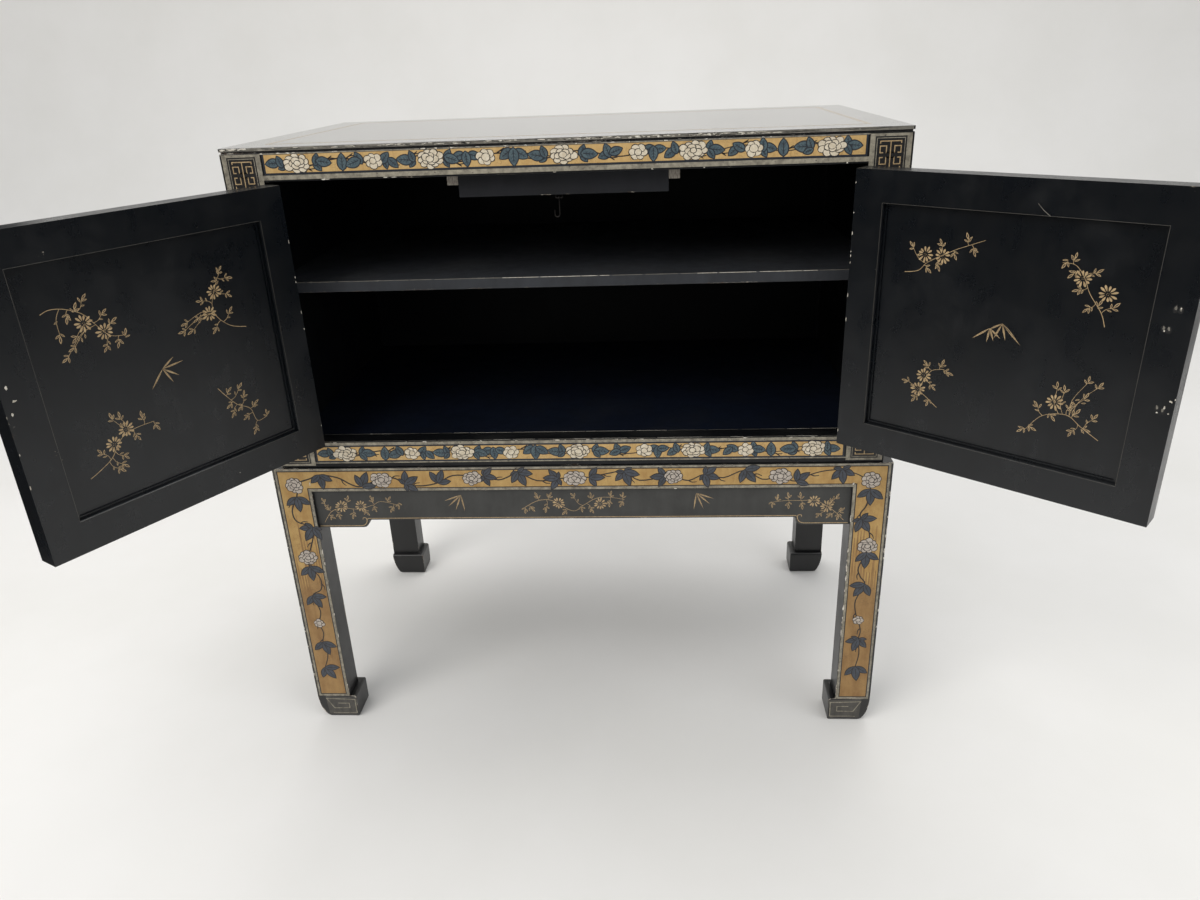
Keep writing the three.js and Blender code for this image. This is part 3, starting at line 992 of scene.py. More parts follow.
    def bud(self, foot: Place, angle: float, length: float) -> None:
        """Draws a gilt leaf with a dark slit along its middle.

        Args:
            foot: Where it starts.
            angle: Its direction, in degrees.
            length: Its length.
        """
        self.fill(blade(foot, angle, length, length * 0.33, 1.15, 0.95), Pigment.GILT, Coat.BUD)
        inner = moved(foot, angle, length * 0.24)
        slit = blade(inner, angle, length * 0.6, length * 0.15, 1.1, 0.9, 4)
        self.fill(slit, Pigment.LINE_DARK, Coat.SLIT)

    def daisy(self, centre: Place, radius: float) -> None:
        """Draws a gilt flower of narrow petals round a ring of dots.

        Args:
            centre: Its middle.
            radius: Its radius.
        """
        petals, hollow = 11, radius * 0.32
        phase = self.chance.uniform(0, 360)
        for i in range(petals):
            angle = phase + 360 * i / petals + self.chance.uniform(-5, 5)
            reach = radius * self.chance.uniform(0.86, 1.1) - hollow
            petal = blade(moved(centre, angle, hollow), angle, reach, radius * 0.25, 1.5, 0.6)
            self.fill(petal, Pigment.GILT, Coat.BUD)
        for turn in (0, 90, 180, 270):
            spot = moved(centre, phase + turn, radius * 0.13)
            self.blot(spot, (0.35, 0.35), Pigment.GILT, Coat.TWIG, 0.1)

    def spray(
        self, stem: Sequence[Place], daisies: Sequence[Place], leaves: Sequence[Place], size: float
    ) -> None:
        """Draws a gilt flowering twig.

        Args:
            stem: The main twig's places, from its foot.
            daisies: Where its flowers are.
            leaves: Where its leaves are.
            size: The length of a leaf.
        """
        line = smooth(stem, 6)
        self.stroke(line, 0.75, Pigment.GILT, Coat.STEM, (1.0, 0.6))
        for place in leaves:
            near = min(line, key=lambda p: math.dist(p, place))
            away = math.degrees(math.atan2(place[1] - near[1], place[0] - near[0]))
            gap = math.dist(place, near)
            foot = moved(place, away, -size * 0.3)
            bend = moved(near, away + 16, gap * 0.4)
            stalk = smooth([near, bend, foot], 4)
            self.stroke(stalk, 0.55, Pigment.GILT, Coat.STEM, (1.0, 0.7))
            tilt = self.chance.uniform(-14, 14)
            side = self.chance.choice((-1, 1))
            self.bud(foot, away + tilt, size * self.chance.uniform(0.85, 1.05))
            self.bud(moved(foot, away, -1.2), away + 48 * side, size * 0.78)
            self.bud(moved(foot, away, -2.6), away - 52 * side, size * 0.7)
            if gap > size * 0.9:
                self.bud(moved(near, away + 8, gap * 0.42), away + 50 * side, size * 0.6)
        for place in daisies:
            self.daisy(place, size * 1.1)

    def bamboo(self, node: Place, tips: Sequence[Place]) -> None:
        """Draws a gilt sprig of thin pointed leaves.

        Args:
            node: Where the leaves meet.
            tips: Where each leaf ends.
        """
        for tip in tips:
            length = math.dist(node, tip)
            angle = math.degrees(math.atan2(tip[1] - node[1], tip[0] - node[0]))
            self.fill(blade(node, angle, length, 2.1, 0.9, 1.2), Pigment.GILT, Coat.SPRIG)
            vein = [moved(node, angle, length * share) for share in (0.15, 0.8)]
            self.stroke(vein, 0.35, Pigment.LINE_DARK, Coat.RIB, (1.0, 0.4))

    def key_fret(self, points: Sequence[Place], width: float) -> None:
        """Draws a squared spiral, in short steps so that it follows a bent face.

        Args:
            points: Its corners.
            width: The line's width.
        """
        step = 3
        line: list[Place] = []
        for start, end in zip(points, points[1:]):
            count = max(int(math.dist(start, end) / step), 1)
            for share in (i / count for i in range(count)):
                x = start[0] + (end[0] - start[0]) * share
                line.append((x, start[1] + (end[1] - start[1]) * share))
        self.stroke([*line, points[-1]], width, Pigment.BORDER_GREY, Coat.FRET)

    def chips(self, places: Sequence[tuple[float, float, float, float]]) -> None:
        """Draws chips where the lacquer is gone down to the gesso.

        Args:
            places: Each chip's middle, half width and half height.
        """
        for x, y, wide, tall in places:
            rim = (wide * 1.15, tall * 1.15)
            self.blot((x, y), rim, Pigment.FIELD_BLACK, Coat.CHIP_RIM, 0.3)
            self.blot((x, y), (wide, tall), Pigment.GESSO, Coat.CHIP, 0.35)

    def make(self, name: str, body: str = "cabinet", slot: str = "ochre_ground") -> None:
        """Makes the mesh and lets it ride on a body.

        Args:
            name: The piece's name.
            body: The body that it moves with.
            slot: A material slot name of the record; not used.
        """
        pigments = list(dict.fromkeys(shape.pigment for shape in self.shapes))
        work = bmesh.new()
        for shape in self.shapes:
            foot = [work.verts.new(self.face.place(x, y, -self.depth)) for x, y in shape.outline]
            head = [work.verts.new(self.face.place(x, y, shape.height)) for x, y in shape.outline]
            made = [work.faces.new([head[i] for i in ring]) for ring in shape.faces]
            made += [work.faces.new([foot[i] for i in reversed(ring)]) for ring in shape.faces]
            for i in range(len(foot)):
                j = (i + 1) % len(foot)
                made.append(work.faces.new([foot[i], foot[j], head[j], head[i]]))
            for one in made:
                one.material_index = pigments.index(shape.pigment)
        bmesh.ops.recalc_face_normals(work, faces=work.faces)
        mesh = bpy.data.meshes.new(name)
        work.to_mesh(mesh)
        work.free()
        for pigment in pigments:
            mesh.materials.append(self.palette.paints[pigment])
        piece = put(name, mesh)
        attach(piece, body)
        LOG.info("%s: %d shapes", name, len(self.shapes))


SCROLL_FLOWERS = (
    (-352, False), (-249, True), (-172, False), (-97, True), (5, False), (104, True),
    (176, False), (254, True), (354, False),
)  # fmt: skip
SCROLL_LEAVES = (
    (-386, 1, 185, 15), (-376, 3, 110, 12), (-373, -6, 200, 9), (-326, 5, 75, 12),
    (-316, 1, -10, 16), (-325, -6, -50, 11), (-291, 0, 88, 17), (-276, -2, 200, 17),
    (-268, 5, 120, 13), (-233, 4, 50, 14), (-222, -4, -45, 13), (-232, -6, -80, 9),
    (-206, 0, 175, 17), (-196, 5, 110, 11), (-196, -6, 230, 9), (-148, 5, 60, 12),
    (-143, -1, -20, 16), (-150, -7, -60, 9), (-134, 3, 200, 14), (-123, -2, -85, 15),
    (-112, 3, -15, 14), (-70, 4, 215, 16), (-60, -1, -90, 18), (-50, 3, -30, 16),
    (-30, 0, 170, 17), (-20, 5, 110, 12), (-21, -6, 215, 9), (31, 5, 70, 12),
    (40, 0, -5, 17), (33, -6, -50, 10), (64, 4, 110, 14), (75, 3, 20, 14),
    (60, -3, 200, 13), (117, 4, 190, 14), (124, -3, -90, 15), (132, 4, 5, 13),
    (146, -3, 215, 14), (152, 5, 110, 12), (197, 5, 75, 12), (206, 0, -5, 16),
    (199, -6, -55, 11), (228, -3, 220, 13), (235, 3, 150, 14), (266, 5, 95, 13),
    (274, 0, -10, 15), (267, -6, -60, 11), (292, 0, 92, 17), (317, 0, 180, 18),
    (326, 5, 110, 12), (324, -7, 200, 10), (374, 5, 95, 12), (383, 0, -5, 15),
    (375, -6, -60, 11),
)  # fmt: skip
CLIMBER_LEAVES = (
    (-9, -15, 235), (8, -14, -60), (-10, 13, 130), (9, 14, 55), (0, 22, 92), (-2, -21, 265),
)  # fmt: skip


@dataclass
class SubAssembly:
    """What every part of the cabinet shares.

    Attributes:
        palette: The cabinet's materials.
        centre: The cabinet's middle on the floor, in metres.
    """

    palette: Palette
    centre: Vector

    def draw(self, side: Side, distance: float, seed: int, sink: Sink | None = None) -> Drawing:
        """Starts a drawing on one side of the cabinet.

        Args:
            side: Which side.
            distance: How far the face lies from the cabinet's middle, in millimetres.
            seed: Where its unevenness starts.
            sink: How far the face falls back at a place, or None for a flat one.

        Returns:
            The empty drawing.
        """
        across, up, out = (Vector(direction) for direction in side.value)
        face = Face(self.centre + out * distance * MM, across, up, out, sink)
        return Drawing(face, self.palette, seed)

    def dress_all(self, names: Iterable[str], finish: str, softened: float = 0.8) -> None:
        """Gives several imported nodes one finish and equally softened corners."""
        for name in names:
            self.palette.dress(name, finish, softened)


@dataclass
class Carcass(SubAssembly):
    """The cabinet box with its painted front frame.

    Attributes:
        half_width: Half the cabinet's width.
        half_depth: Half its depth.
        foot: Height of its underside.
        head: Height of the front frame's top, under the lip of the top board.
        lip: Height up to which the top board's front edge is painted.
        top: Height of its top.
        stile: Width of a front stile.
        top_rail: Height of the top rail.
        bottom_rail: Height of the bottom rail.
        shelf_back: How far the shelf's front edge lies behind the front frame.
        shelf_line: Height of the line on the shelf's edge, worn paint and painted highlight.
    """

    half_width: float = 457.5
    half_depth: float = 264.0
    foot: float = 480.2
    head: float = 942.7
    lip: float = 949.4
    top: float = 950.2
    stile: float = 55.0
    top_rail: float = 37.5
    bottom_rail: float = 43.0
    shelf_back: float = 49.8
    shelf_line: float = 756.6

    def build(self) -> None:
        """Dresses the box and paints it."""
        self.dress_all(("frame_stile_left", "frame_stile_right"), "carcass_lacquer", 1.0)
        self.dress_all(("frame_rail_top", "frame_rail_bottom"), "carcass_lacquer", 1.0)
        self.dress_all(("side_board_left", "side_board_right", "back_board"), "carcass_lacquer")
        self.palette.dress("floor_board", "inside_lacquer", 1.0)
        # The shelf takes the lighter lacquer that paints the light on its front edge.
        self.palette.dress("shelf", "shelf_lacquer", 1.0)
        self.dress_all(("shelf_cleat_left", "shelf_cleat_right"), "inside_lacquer")
        self.palette.dress("top_board", "top_lacquer", 0.0)
        drawing = self.draw(Side.FRONT, self.half_depth, 3)
        inside = self.half_width - self.stile
        low, high = self.foot + self.bottom_rail, self.head - self.top_rail
        self._scroll_band(drawing, inside, high + 11.5, self.head - 2.5)
        self._scroll_band(drawing, inside, self.foot + 11.5, low - 9.0)
        for direction in (-1, 1):
            self._stile(drawing, direction, low, high)
        self._rail_edges(drawing, inside, low, high)
        drawing.make("front_frame_painting")
        self._sides()
        self._top()
        self._top_edge()
        self._worn_edges()

    @staticmethod
    def _scroll_band(drawing: Drawing, inside: float, low: float, high: float) -> None:
        """Paints a rail: blue lines, a gold ground and the flower scroll.

        Args:
            drawing: The front's drawing.
            inside: Half the opening's width.
            low: The ground's lower edge.
            high: The ground's upper edge.
        """
        middle, reach, line = (low + high) / 2, inside - 3, 2.6

        def wave(x: float) -> Place:
            """Finds the stem's place at a distance from the middle."""
            return x, middle + 4.5 * math.sin(x / 17)

        outline = ((-reach, low - line), (reach, high + line))
        drawing.panel(*outline, Pigment.LINE_BLUE, Coat.UNDERLINE)
        drawing.panel(*inset(*outline, line), Pigment.GOLD_GROUND, Coat.GOLD)
        drawing.twig([wave(x) for x in range(int(-inside) + 10, int(inside) - 8, 12)])
        for x in range(int(-inside) + 30, int(inside) - 20, 29):
            y = wave(x)[1]
            turn = drawing.chance.choice((-1, 1))
            drawing.twig([(x, y), (x + 6, y + 3.5 * turn), (x + 14, y + 3 * turn)])
            drawing.twig([(x + 5, y + 3 * turn), (x + 10, y + 6.5 * turn)])
        for x, dy, angle, length in SCROLL_LEAVES:
            foot = moved((x, middle + dy * 0.8), angle, -length * 0.61)
            full = length * 1.22
            drawing.leaf(foot, angle, full, full * 0.58, Pigment.LEAF_TEAL)
        for x, small in SCROLL_FLOWERS:
            radii = (12.0, 10.0) if small else (17.5, 11.3)
            drawing.blossom((x, middle), radii, Pigment.PETAL_CREAM, small)

    def _stile(self, drawing: Drawing, direction: int, low: float, high: float) -> None:
        """Paints a stile: framed black squares at its ends and a flower scroll between.

        Args:
            drawing: The front's drawing.
            direction: -1 on the left, 1 on the right.
            low: The opening's lower edge.
            high: The opening's upper edge.
        """
        outer, inner = self.half_width - 2.6, self.half_width - self.stile - 0.5
        left, right = sorted((direction * outer, direction * inner))
        grey = Pigment.BORDER_GREY
        for foot, head in ((self.foot + 3.5, low + 15), (high - 17, self.head - 1.2)):
            drawing.panel((left, foot), (right, head), grey, Coat.SQUARE)
            square = inset((left, foot), (right, head), 6.5, 3.4)
            drawing.panel(*square, Pigment.FIELD_BLACK, Coat.LINE)
            square = inset(*square, 1.8)
            drawing.border(*square, 0.9, grey, Coat.SPRIG)
            self._lattice(drawing, *square)
        ends = ((left, low + 16), (right, high - 18))
        drawing.border(*ends, 6.0, grey, Coat.BORDER)
        line = inset(*ends, 6)
        drawing.panel(*line, Pigment.LINE_BLUE, Coat.UNDERLINE)
        ground = inset(*line, 2)
        drawing.panel(*ground, Pigment.GOLD_GROUND, Coat.GOLD)
        self._climber(drawing, (left + right) / 2, ground[0][1], ground[1][1])

    @staticmethod
    def _lattice(drawing: Drawing, low: Place, high: Place) -> None:
        """Fills a black square with a plain symmetric fret of gilt bars.

        Args:
            drawing: The front's drawing.
            low: The square's lower left corner.
            high: Its upper right corner.
        """
        middle, level = (low[0] + high[0]) / 2, (low[1] + high[1]) / 2
        wide, tall = (high[0] - low[0]) / 2 - 2.8, (high[1] - low[1]) / 2 - 2.8
        key = ((0, 0.16), (0.34, 0.16), (0.34, 0.6), (0.86, 0.6), (0.86, 0.16), (0.6, 0.16))
        hook = ((0, 0.92), (0.86, 0.92), (0.86, 0.76))
        quarters = [(across, up) for across in (-1, 1) for up in (-1, 1)]
        bars = [[(a * u, b * v) for u, v in bar] for a, b in quarters for bar in (key, hook)]
        bars += [[(-0.34, y), (0.34, y)] for y in (-0.16, 0.16)]
        spine = [(0, -0.92), (0, 0.92)]
        for bar in (*bars, spine):
            points = [(middle + wide * u, level + tall * v) for u, v in bar]
            height = Coat.RIB if bar is spine else Coat.TWIG
            drawing.stroke(points, 1.3, Pigment.GILT, height)

    @staticmethod
    def _climber(drawing: Drawing, x: float, low: float, high: float) -> None:
        """Paints a flower scroll that climbs a stile.

        Args:
            drawing: The front's drawing.
            x: The stile's middle.
            low: The ground's lower end.
            high: The ground's upper end.
        """
        flowers, steps, rise = 7, 26, high - low - 10
        stem = [(x + 7 * math.sin(i * 1.6), low + 5 + i * rise / steps) for i in range(steps + 1)]
        drawing.twig(stem)
        for i in range(flowers):
            y = low + (high - low) / flowers * (i + 0.5)
            for dx, dy, angle in CLIMBER_LEAVES:
                drawing.leaf((x + dx * 0.6, y + dy * 0.7), angle, 13, 7.5, Pigment.LEAF_TEAL)
            small = i % 2 == 1
            radii = (9.5, 9.5) if small else (13, 11.5)
            drawing.blossom((x, y), radii, Pigment.PETAL_CREAM, small)

    def _rail_edges(self, drawing: Drawing, inside: float, low: float, high: float) -> None:
        """Paints the grey edges of both rails and the chips along them.

        Args:
            drawing: The front's drawing.
            inside: Half the opening's width.
            low: The opening's lower edge.
            high: The opening's upper edge.
        """
        for foot, head in (
            (high + 2.5, high + 8.5),
            (self.head - 1.9, self.head - 0.6),
            (low - 6.4, low - 1.8),
            (self.foot + 7.0, self.foot + 8.8),
        ):
            drawing.panel((-inside, foot), (inside, head), Pigment.BORDER_GREY, Coat.BORDER)
        count, edges = 46, (high + 1.6, low - 1.6, self.head - 0.9)
        draw, pick = drawing.chance.uniform, drawing.chance.choice
        places = [
            (draw(-inside, inside), pick(edges), draw(0.8, 4.5), draw(0.4, 0.9))
            for _ in range(count)
        ]
        drawing.chips(places)

    def _sides(self) -> None:
        """Paints gilt lines and sprays on both side boards."""
        low, high = self.foot + 16, self.head - 14
        reach, stile = self.half_depth - 18, 14
        for side, seed, sprays, start, end in (
            (Side.LEFT, 16, LEFT_DOOR_SPRAYS, -reach, reach - stile),
            (Side.RIGHT, 18, RIGHT_DOOR_SPRAYS, stile - reach, reach),
        ):
            drawing = self.draw(side, self.half_width, seed)
            corners = ((start, low), (end, high))
            drawing.border(*corners, 1.6, Pigment.GILT, Coat.LINE)
            drawing.border(*inset(*corners, 5), 0.7, Pigment.GILT, Coat.LINE)
            middle = ((start + end) / 2, (low + high) / 2)
            for spray in sprays:
                drawing.spray(*carried(spray, (200, 714), middle, 1.35), 12.0)
            drawing.bamboo(middle, [moved(middle, turn, 36) for turn in (-20, -48, -76, -104)])
            drawing.make(f"side_painting_{side.name.lower()}")

    def _top(self) -> None:
        """Paints the faded gilt lines round the top."""
        drawing = self.draw(Side.TOP, self.top, 23)
        edge = (self.half_width, self.half_depth)
        corners = inset((-edge[0], -edge[1]), edge, 46)
        drawing.border(*corners, 1.3, Pigment.GILT, Coat.TOP_LINE)
        drawing.border(*inset(*corners, 4), 0.7, Pigment.GILT, Coat.TOP_LINE)
        drawing.make("top_line", slot="black_lacquer")

    def _top_edge(self) -> None:
        """Wears and chips the top board's front edge."""
        drawing = self.draw(Side.FRONT, self.half_depth, 29)
        chance, low, high = drawing.chance, self.head + 3.2, self.lip
        reach = self.half_width - 2
        corners = ((-reach, low - 0.4), (reach, high + 0.2))
        drawing.panel(*corners, Pigment.FADED_LINE, Coat.SCRATCH)
        worn = (Pigment.FIELD_BLACK, Pigment.FOOT_GROUND, Pigment.BORDER_GREY, Pigment.FIELD_BLACK)
        strokes, step, chips, small_chips = 200, 5, 90, 34
        for i in range(strokes):
            x = chance.uniform(-self.half_width + 3, self.half_width - 44)
            length = chance.uniform(8, 42)
            y = chance.uniform(low, high)
            count = max(int(length / step), 2)
            line = [(x + step * k, y + chance.uniform(-0.25, 0.25)) for k in range(count)]
            width = chance.uniform(0.4, 1.2)
            drawing.stroke(line, width, worn[i % len(worn)], Coat.BORDER + 0.001 * i, (0.4, 0.3))
        places = []
        for _ in range(chips):
            x = chance.triangular(-self.half_width + 5, self.half_width - 8, -60)
            wide = chance.uniform(1.0, 6.5)
            y = chance.uniform(low + 0.8, high - 0.6)
            places.append((x, y, wide, chance.uniform(0.25, 0.7)))
        for _ in range(small_chips):
            x = chance.uniform(20, 270)
            tall = chance.uniform(0.6, 1.3)
            places.append((x, chance.uniform(low + 0.9, high - 1.2), tall * 2.6, tall))
        places += [(-452, 948, 4, 1.3), (-440, 948.3, 8, 1.0), (-424, 948.4, 7, 0.9)]
        drawing.chips(places)
        drawing.make("top_edge_chips", slot="black_lacquer")

    @staticmethod
    def _worn_edge(drawing: Drawing, level: float, reach: float, bare: float) -> None:
        """Draws a broken pale line along a corner: worn paint, and a painted highlight where the
        corner catches the light.

        Args:
            drawing: The drawing of the face beside the corner.
            level: The line's height on the face.
            reach: Half its length.
            bare: Where its bright stretches start, which stand for bare gesso and painted
                highlight.
        """
        x = -reach
        while x < reach - 10:
            end = min(x + drawing.chance.uniform(12, 60), reach)
            faded = x < bare or drawing.chance.random() < 0.3
            pigment = Pigment.FADED_LINE if faded else Pigment.GESSO
            drawing.stroke([(x, level), (end, level)], 1.1, pigment, Coat.WEAR, (0.6, 0.6))
            x = end + drawing.chance.uniform(0, 5)

    def _worn_edges(self) -> None:
        """Paints wear and painted highlights on the edges of the shelf, the bottom rail and the
        floor.
        """
        shelf = self.draw(Side.FRONT, self.half_depth - self.shelf_back, 31)
        # The shelf's worn line also serves as a painted highlight along its top front corner.
        self._worn_edge(shelf, self.shelf_line, 434, -120)
        shelf.make("shelf_edge_wear", slot="interior_black")
        front, step = -self.half_depth, 5.0
        level = self.foot + self.bottom_rail
        sill = self.draw(Side.TOP, level, 37, lambda _, y: step if y > front + 32 else 0.0)
        # The front line is wear; the two lines behind it are painted highlights on the rail's rear
        # edge and on the floor board.
        for back, bare in ((1.1, -150), (29.1, -320), (37.0, 60)):
            self._worn_edge(sill, front + back, 398, bare)
        sill.make("sill_wear", slot="black_lacquer")


@dataclass
class StopRail(SubAssembly):
    """The rail under the top, its end blocks, the staple and the hook."""

    def build(self) -> None:
        """Dresses the rail and its hook."""
        self.palette.dress("stop_rail", "stop_lacquer")
        self.dress_all(("stop_block_left", "stop_block_right"), "block_wood", 0.6)
        self.dress_all(("hook_staple", "stop_hook"), "dark_iron", 0.0)


VINE_LEAVES = (
    (-398, 469, -88, 17), (-334, 449, 62, 18), (-266, 452, 25, 18), (-214, 454, 62, 17),
    (-142, 465, -15, 15), (-89, 471, -62, 18), (-28, 459, 182, 16), (20, 461, -4, 16),
    (73, 470, -75, 18), (135, 461, 178, 16), (194, 464, -22, 18), (254, 471, -48, 18),
    (331, 451, 32, 17), (398, 470, -82, 18),
    (-441, 431, -88, 20), (-424, 377, -118, 20), (-441, 305, -82, 20), (-446, 250, -66, 20),
    (-444, 158, -78, 19), (-449, 106, -60, 20),
    (442, 436, -92, 20), (432, 386, -58, 20), (444, 327, -86, 20), (446, 270, -120, 20),
    (444, 166, -108, 19), (443, 112, -84, 20),
)  # fmt: skip
VINE_FLOWERS = (
    (-441, 452, 14, 13), (-302, 460, 17, 11.5), (-161, 461, 14, 11), (-3, 460, 17, 11.5),
    (147, 461, 14, 11), (307, 460, 17, 11.5), (442, 452, 14, 13),
    (-441, 322, 15, 12), (-444, 196, 9, 8), (445, 339, 15, 12), (441, 203, 9, 8),
)  # fmt: skip
VINE_STEMS = (
    ((-430, 458), (-414, 463), (-398, 469), (-370, 464), (-350, 452), (-334, 449), (-302, 462),
     (-280, 462), (-266, 452), (-240, 449), (-214, 454), (-190, 466), (-161, 465), (-142, 464),
     (-120, 458), (-104, 463), (-89, 470), (-60, 456), (-28, 459), (-3, 461), (20, 461), (48, 467),
     (73, 470), (96, 455), (135, 461), (147, 461), (170, 454), (194, 464), (222, 458), (254, 470),
     (280, 455), (307, 458), (331, 451), (352, 462), (374, 468), (398, 469), (420, 462),
     (432, 455)),
    ((-437, 444), (-441, 431), (-452, 408), (-448, 388), (-424, 377), (-430, 350), (-441, 322),
     (-441, 305), (-428, 284), (-430, 262), (-446, 250), (-438, 220), (-444, 196), (-440, 176),
     (-444, 158), (-440, 132), (-449, 106)),
    ((436, 444), (442, 436), (438, 410), (430, 396), (432, 386), (446, 362), (445, 339),
     (444, 327), (434, 300), (438, 284), (446, 270), (434, 240), (436, 216), (441, 203),
     (446, 182), (444, 166), (447, 138), (443, 112)),
)  # fmt: skip
FOOT_SPIRAL = (
    (22, 8.5), (64, 8.5), (64.5, 38), (14.5, 40), (26, 19.5), (53, 20), (53, 30), (34, 30),
)  # fmt: skip


@dataclass
class Stand(SubAssembly):
    """The stand with its painted front and gilt aprons.

    Attributes:
        half_width: Half the stand's width.
        half_depth: Half its depth.
        height: Its height.
        leg: Width of a leg from the front.
        leg_depth: Depth of a leg.
        leg_foot: Height at which the painted legs end over their feet.
        leg_fade: Height up to which their ground is wholly brown.
        rail: Height of a rail.
        apron_back: How far an apron lies behind the legs' faces.
        apron_end: The apron's drop at its ends.
        apron_middle: Its drop in the middle.
        bracket: Length of an apron's lower end.
        lobe: Radius of the bracket's corner.
        front_curve: Height at which a foot's face starts to fall back.
        front_inset: How far it falls back at the floor.
    """

    half_width: float = 472.0
    half_depth: float = 267.0
    height: float = 480.0
    leg: float = 57.0
    leg_depth: float = 44.0
    leg_foot: float = 46.0
    leg_fade: float = 250.0
    rail: float = 40.0
    apron_back: float = 5.0
    apron_end: float = 65.0
    apron_middle: float = 52.0
    bracket: float = 81.0
    lobe: float = 9.0
    front_curve: float = 26.0
    front_inset: float = 4.0

    def build(self) -> None:
        """Dresses the stand and paints it."""
        for side in ("front_left", "front_right", "back_left", "back_right"):
            self.palette.dress(f"stand_leg_{side}", "stand_lacquer", 1.2)
        for side in ("front", "back", "left", "right"):
            self.palette.dress(f"stand_{side}_rail", "stand_lacquer")
            self.palette.dress(f"stand_{side}_apron", "apron_lacquer")
        drawing = self.draw(Side.FRONT, self.half_depth, 41)
        self._band(drawing)
        self._leg_grounds(drawing)
        self._vine(drawing)
        drawing.make("stand_front_painting")
        self._feet()
        self._aprons()
        self._back_legs()
        self._leg_chips()

    def _band(self, drawing: Drawing) -> None:
        """Paints the ground and borders that run over the rail and down both front legs.

        Args:
            drawing: The stand front's drawing.
        """
        for outset, within, rise, pigment, height in (
            (3.0, 0.9, 0.0, Pigment.BORDER_GREY, Coat.UNDERLINE),
            (6.2, 5.0, 3.6, Pigment.LINE_DARK, Coat.BORDER),
            (7.9, 6.6, 5.4, Pigment.STAND_GROUND, Coat.LINE),
        ):
            outer, inner = self.half_width - outset, self.half_width - self.leg + within
            top, under = self.height - max(outset - 2.2, 0.6), self.height - self.rail + within
            low = self.leg_foot + rise
            half = [(outer, top), (outer, low), (inner, low), (inner, under)]
            ring = [(-x, z) for x, z in half] + half[::-1]
            drawing.fill([*ring[1:], ring[0]], pigment, height)

    def _leg_grounds(self, drawing: Drawing) -> None:
        """Paints the browner ground of the legs, which fades upwards in brush strokes.

        Args:
            drawing: The stand front's drawing.
        """
        strokes, brush = 9, 5.3
        inner, outer = self.half_width - self.leg + 6.8, self.half_width - 8.1
        for direction in (-1, 1):
            low, high = sorted((direction * inner, direction * outer))
            foot = self.leg_foot + 5.6
            drawing.panel((low, foot), (high, self.leg_fade), Pigment.LEG_GROUND, Coat.LEG)
            for i in range(strokes):
                x = low + 2.7 + i * (high - low - 5.4) / (strokes - 1)
                line = [(x, self.leg_fade - 2), (x, drawing.chance.uniform(270, 415))]
                height = Coat.LEG_FADE + 0.002 * i
                drawing.stroke(line, brush, Pigment.LEG_GROUND, height, (1.0, 0.25))

    def _vine(self, drawing: Drawing) -> None:
        """Paints the vine, its tendrils, leaves and flowers.

        Args:
            drawing: The stand front's drawing.
        """
        for stem in VINE_STEMS:
            line = smooth(stem, 4)
            drawing.stroke(line, 2.4, Pigment.LINE_DARK, Coat.BUD, (1.0, 0.7))
            for i in range(6, len(line) - 5, 7):
                x, y = line[i]
                turn = drawing.chance.choice((-1, 1))
                way = math.degrees(math.atan2(line[i + 1][1] - y, line[i + 1][0] - x))
                middle = moved((x, y), way + 44 * turn, 6)
                drawing.twig([(x, y), middle, moved(middle, way + 12 * turn, 7)])
        for x, y, angle, size in VINE_LEAVES:
            on_rail = y > self.height - self.rail + 4
            drawing.vine_leaf((x, y), angle, size * (1.34 if on_rail else 1.27))
        for x, y, wide, tall in VINE_FLOWERS:
            drawing.blossom((x, y), (wide, tall), Pigment.PETAL_ROSE, wide < 10)

    def _fall_back(self, z: float) -> float:
        """Finds how far a foot's face has fallen back at a height.

        Args:
            z: The height, in millimetres.

        Returns:
            The distance behind the leg's face, in millimetres.
        """
        if z >= self.front_curve:
            return 0.0
        low, high, halvings = 0.0, 1.0, 24
        # Closes in on the share t of the foot's curved outline that lies at this height.
        for _ in range(halvings):
            t = (low + high) / 2
            s = 1 - t
            level = self.front_curve * (s**3 + 1.5 * s * s * t + 0.36 * s * t * t)
            low, high = (t, high) if level > z else (low, t)
        return self.front_inset * (1.2 * s * t * t + t**3)

    def _feet(self) -> None:
        """Paints the squared spiral on both front feet."""
        for name, direction in (("left", -1), ("right", 1)):
            drawing = self.draw(Side.FRONT, self.half_depth, 43, lambda _, z: self._fall_back(z))
            ground = [(direction * (self.half_width - 38.5 - 0.07 * z), z) for z in range(4, 45, 4)]
            drawing.stroke(ground, 56.0, Pigment.FOOT_GROUND, Coat.BORDER, (0.84, 1.0))
            spiral = [(direction * (self.half_width - u), z) for u, z in FOOT_SPIRAL]
            drawing.key_fret(spiral, 1.5)
            drawing.make(f"foot_fret_{name}")

    def _apron_line(self, reach: float) -> list[Place]:
        """Finds the gilt line that follows an apron's lower edge.

        Args:
            reach: Half the apron's length.

        Returns:
            The line's places from the left end to the right one.
        """
        within = 2.6
        top = self.height - self.rail - 0.2
        low, high = top - self.apron_end + within, top - self.apron_middle + within
        lobe = reach - self.bracket
        radius = self.lobe + 1.0
        half: list[Place] = [(reach - 1.5, low), (lobe + radius + within, low)]
        for i in range(1, 7):
            turn = math.radians(270 - 15 * i)
            x = lobe + radius + within + radius * math.cos(turn)
            half.append((x, low + radius + radius * math.sin(turn)))
        half += [(lobe + within, high - 1.5), (lobe - 1.0, high)]
        return [(-x, y) for x, y in half] + half[::-1]

    def _scrolls(self, drawing: Drawing, reach: float) -> None:
        """Draws the small gilt hooks inside an apron's brackets.

        Args:
            drawing: The apron's drawing.
            reach: Half the apron's length.
        """
        top = self.height - self.rail - self.apron_middle
        lobe = reach - self.bracket
        hook = ((2.6, -3), (3.4, 2.8), (8, 3.4), (9, 0.4))
        for direction in (-1, 1):
            points = smooth([(direction * (lobe + x), top + y) for x, y in hook], 4)
            drawing.stroke(points, 1.0, Pigment.GILT, Coat.SPRIG, (1.0, 0.8))

